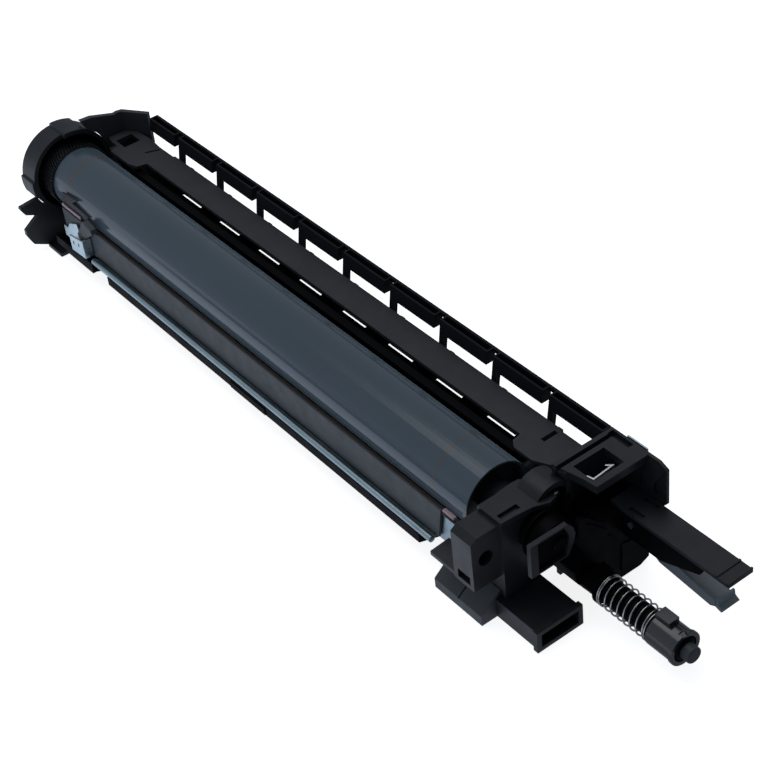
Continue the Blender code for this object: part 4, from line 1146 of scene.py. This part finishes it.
def rear_plate():
    """The bulkhead with two thin fins at its left, and the floor below the gears."""
    outline = [(-18, -24), (-12, -12), (12, -12), (20, -4), (27, 2), (SIDE_Y, 2), (SIDE_Y, BASE_Z),
               (-18, BASE_Z)]
    plate = prism("plate", "X", outline, SHELL_X, PLATE_FACE_X)
    fins = [(-12, -7), (-29.8, -8.9), (-30.1, -10.1), (-28.2, -13.8), polar(SHELL_R + 6.5, 217),
            (-30.0, -22.1), (-30.1, -25.2), (-27.6, -30.9), (-18.4, BASE_Z + 0.4), (-10, BASE_Z + 0.4)]
    pocket = [(-8, -33), (38.5, -33), (38.5, -3), (26, -3), (15, -22), (-8, -24.5)]
    pocket_floor_x = PLATE_FACE_X - 2.5
    cut(plate, prism("pocket", "X", pocket, SHELL_X - 1, pocket_floor_x))
    bottom = [(-20.5, BASE_Z), (SIDE_Y, BASE_Z), (SIDE_Y, TRAY_WALL_TOP), (SIDE_Y - WALL, TRAY_WALL_TOP),
              (SIDE_Y - WALL, BASE_Z + WALL), (-20.5, BASE_Z + WALL)]
    join(plate, prism("fins", "X", fins, PLATE_FACE_X - FIN_THICKNESS, PLATE_FACE_X - 0.1),
         prism("bottom", "X", bottom, PLATE_FACE_X - 0.5, TRAY_FAR_X - GAP))
    shell_space = rod("space", "X", SHELL_X - 1, SHELL_FRONT_X + 5, SHELL_R + GAP, sides=64)
    gear_space = rod("space", "X", PLATE_FACE_X + GAP, TRAY_FAR_X, SCREW_GEAR_SPACE, PIPE_AT, 64)
    seat = rod("seat", "X", SHELL_X + 2, SHELL_FRONT_X, JOURNAL_R + GAP, PIPE_AT, 16)
    cut(plate, shell_space, gear_space, seat)
    finish(plate, "rear_plate")


def rear_cheek():
    front = [(9.4, 22.9), (15.4, 22.5), (27.4, 18.8), (30, 18.8), (30, 2.3)]
    front += arc((0, 0), SHELL_R + GAP, 8, 56, 6)
    cheek = prism("cheek", "X", front, PLATE_FACE_X, PLATE_FACE_X + CHEEK_THICKNESS)
    plan = ribbon(from_far((-9.7, 28.5), (-9, 31.5), (3, 39.6)), 2.2)
    join(cheek, prism("turn", "Z", plan, 2.3, 19.2))
    finish(cheek, "rear_cheek")


def build():
    frame_tray()
    back_rail()
    drum_gear()
    drum_flange()
    blade_holder()
    blade_case()
    cleaning_blade()
    blade_screw("blade_screw_far", FAR_SCREW_AT, CLIP_Y - CLIP_THICKNESS - GAP, 2.2)
    blade_screw("blade_screw_near", NEAR_SCREW_AT, LEG_Y - LEG_THICKNESS - GAP, 1.1)
    earth_clip()
    seal_block()
    end_seal("end_seal_far", (FAR_X + 9.4, FAR_X + 27), (CASE_Y - 0.7, CASE_Y), (-3.6, -2.2))
    end_seal("end_seal_near", (-11.7, -5.1), (CASE_Y - 0.7, BOSS_Y - 0.5), (-4.6, -3.5))
    charge_cover()
    front_housing()
    coupling_hub()
    housing_screw()
    coupling_cover()
    coupling_floor()
    head_frame()
    front_panel()
    base_shoe()
    wing_guide()
    duct_box()
    grip_arm()
    arm_web()
    release_lever()
    window_contact()
    side_contact()
    waste_pipe()
    pipe_nose()
    pipe_shutter()
    pipe_spring()
    rear_shell()
    rear_plate()
    rear_cheek()


build()


# Floor, light and background, in metres

ROOM_TINT = (0.86, 0.95, 1.10, 1)
ROOM_TOP = 0.30
ROOM_SIDE = 0.42
ROOM_DARK = 0.25
ROOM_DARK_X = (-0.1, 0.5)
ROOM_SIDE_Y = (-0.9, 0.2)
FLOOR_HALF = 4
FLOOR_DROP = 0.0002
FLOOR_GREY = (0.8, 0.8, 0.8, 1)
FLOOR_GLOW = 0.86
FLOOR_BOUNCE = 0.8
FLOOR_DARK = 0.3
SOFTBOX_AT = Vector((-0.25, 0.1, 1.1))
SOFTBOX_SIZE = (1.2, 0.7)
SOFTBOX_POWER = 3

# Where the light that the floor sends up changes, in metres from the drum's near end
DARK_SIDE_Y = (-0.05, 0.0)
STRIP_FALL_Y = (-0.39, -0.33)
STRIP_RISE_Y = (-0.15, -0.09)
STRIP_START_X = (-0.42, -0.34)


def multiply(nodes, links, first, second):
    product = nodes.new("ShaderNodeMath")
    product.operation = "MULTIPLY"
    links.new(first, product.inputs[0])
    links.new(second, product.inputs[1])
    return product.outputs["Value"]


def camera_sees(nodes, links, shown, hidden, socket):
    """Gives the camera one shader and every other ray another."""
    pick = nodes.new("ShaderNodeMixShader")
    links.new(nodes.new("ShaderNodeLightPath").outputs["Is Camera Ray"], pick.inputs["Fac"])
    links.new(hidden, pick.inputs[1])
    links.new(shown, pick.inputs[2])
    links.new(pick.outputs["Shader"], socket)


def floor_light(nodes, links):
    """The photo's light comes from above and from the blade side, so to all rays but the camera's the floor
    is dark on the rail side, with a dark strip along the blade side that the drum reflects."""
    where = nodes.new("ShaderNodeSeparateXYZ")
    links.new(nodes.new("ShaderNodeNewGeometry").outputs["Position"], where.inputs["Vector"])

    def step(axis, reach, low, high):
        first, last = (ORIGIN["XYZ".index(axis)] + distance for distance in reach)
        return ramp(nodes, links, where.outputs[axis], first, last, low, high)

    side = step("Y", DARK_SIDE_Y, FLOOR_BOUNCE, FLOOR_BOUNCE * FLOOR_DARK)
    strip = multiply(nodes, links, step("Y", STRIP_FALL_Y, 0, 1), step("Y", STRIP_RISE_Y, 1, 0))
    strip = multiply(nodes, links, strip, step("X", STRIP_START_X, 0, 1))
    bounce = nodes.new("ShaderNodeEmission")
    bounce.inputs["Color"].default_value = ROOM_TINT
    links.new(multiply(nodes, links, side, ramp(nodes, links, strip, 0, 1, 1, 0)), bounce.inputs["Strength"])
    return bounce.outputs["Emission"]


def add_floor():
    """White with the part's shadow on it; its light for the part is made apart."""
    work = bmesh.new()
    bmesh.ops.create_grid(work, x_segments=1, y_segments=1, size=FLOOR_HALF)
    floor = solid_of("floor", work)
    floor.location = (0, 0, cad_box[0].z - FLOOR_DROP)
    made = bpy.data.materials.new("floor")
    made.use_nodes = True
    nodes, links = made.node_tree.nodes, made.node_tree.links
    nodes.clear()
    seen = nodes.new("ShaderNodeBsdfDiffuse")
    seen.inputs["Color"].default_value = FLOOR_GREY
    glow = nodes.new("ShaderNodeEmission")
    glow.inputs["Strength"].default_value = FLOOR_GLOW
    both = nodes.new("ShaderNodeAddShader")
    links.new(seen.outputs["BSDF"], both.inputs[0])
    links.new(glow.outputs["Emission"], both.inputs[1])
    surface = nodes.new("ShaderNodeOutputMaterial").inputs["Surface"]
    camera_sees(nodes, links, both.outputs["Shader"], floor_light(nodes, links), surface)
    floor.data.materials.append(made)


def add_world():
    """White to the camera; as light, a soft room that is dark beyond the grip end."""
    world = bpy.data.worlds.new("studio")
    bpy.context.scene.world = world
    world.use_nodes = True
    nodes, links = world.node_tree.nodes, world.node_tree.links
    nodes.clear()
    white = nodes.new("ShaderNodeBackground")
    white.inputs["Color"].default_value = (1, 1, 1, 1)
    room = nodes.new("ShaderNodeBackground")
    room.inputs["Color"].default_value = ROOM_TINT
    facing = nodes.new("ShaderNodeSeparateXYZ")
    links.new(nodes.new("ShaderNodeTexCoord").outputs["Generated"], facing.inputs["Vector"])
    dark_end = ramp(nodes, links, facing.outputs["X"], *ROOM_DARK_X, 1, ROOM_DARK)
    blade_side = ramp(nodes, links, facing.outputs["Y"], *ROOM_SIDE_Y, ROOM_SIDE, ROOM_TOP)
    links.new(multiply(nodes, links, dark_end, blade_side), room.inputs["Strength"])
    surface = nodes.new("ShaderNodeOutputWorld").inputs["Surface"]
    camera_sees(nodes, links, white.outputs["Background"], room.outputs["Background"], surface)


def add_softbox():
    data = bpy.data.lights.new("top_softbox", "AREA")
    data.shape = "RECTANGLE"
    data.size, data.size_y = SOFTBOX_SIZE
    data.energy = SOFTBOX_POWER
    light = link(bpy.data.objects.new("top_softbox", data))
    light.location = SOFTBOX_AT
    light.rotation_euler = (-SOFTBOX_AT).to_track_quat("-Z", "Y").to_euler()


add_floor()
add_world()
add_softbox()
bpy.context.scene.view_settings.view_transform = "Standard"
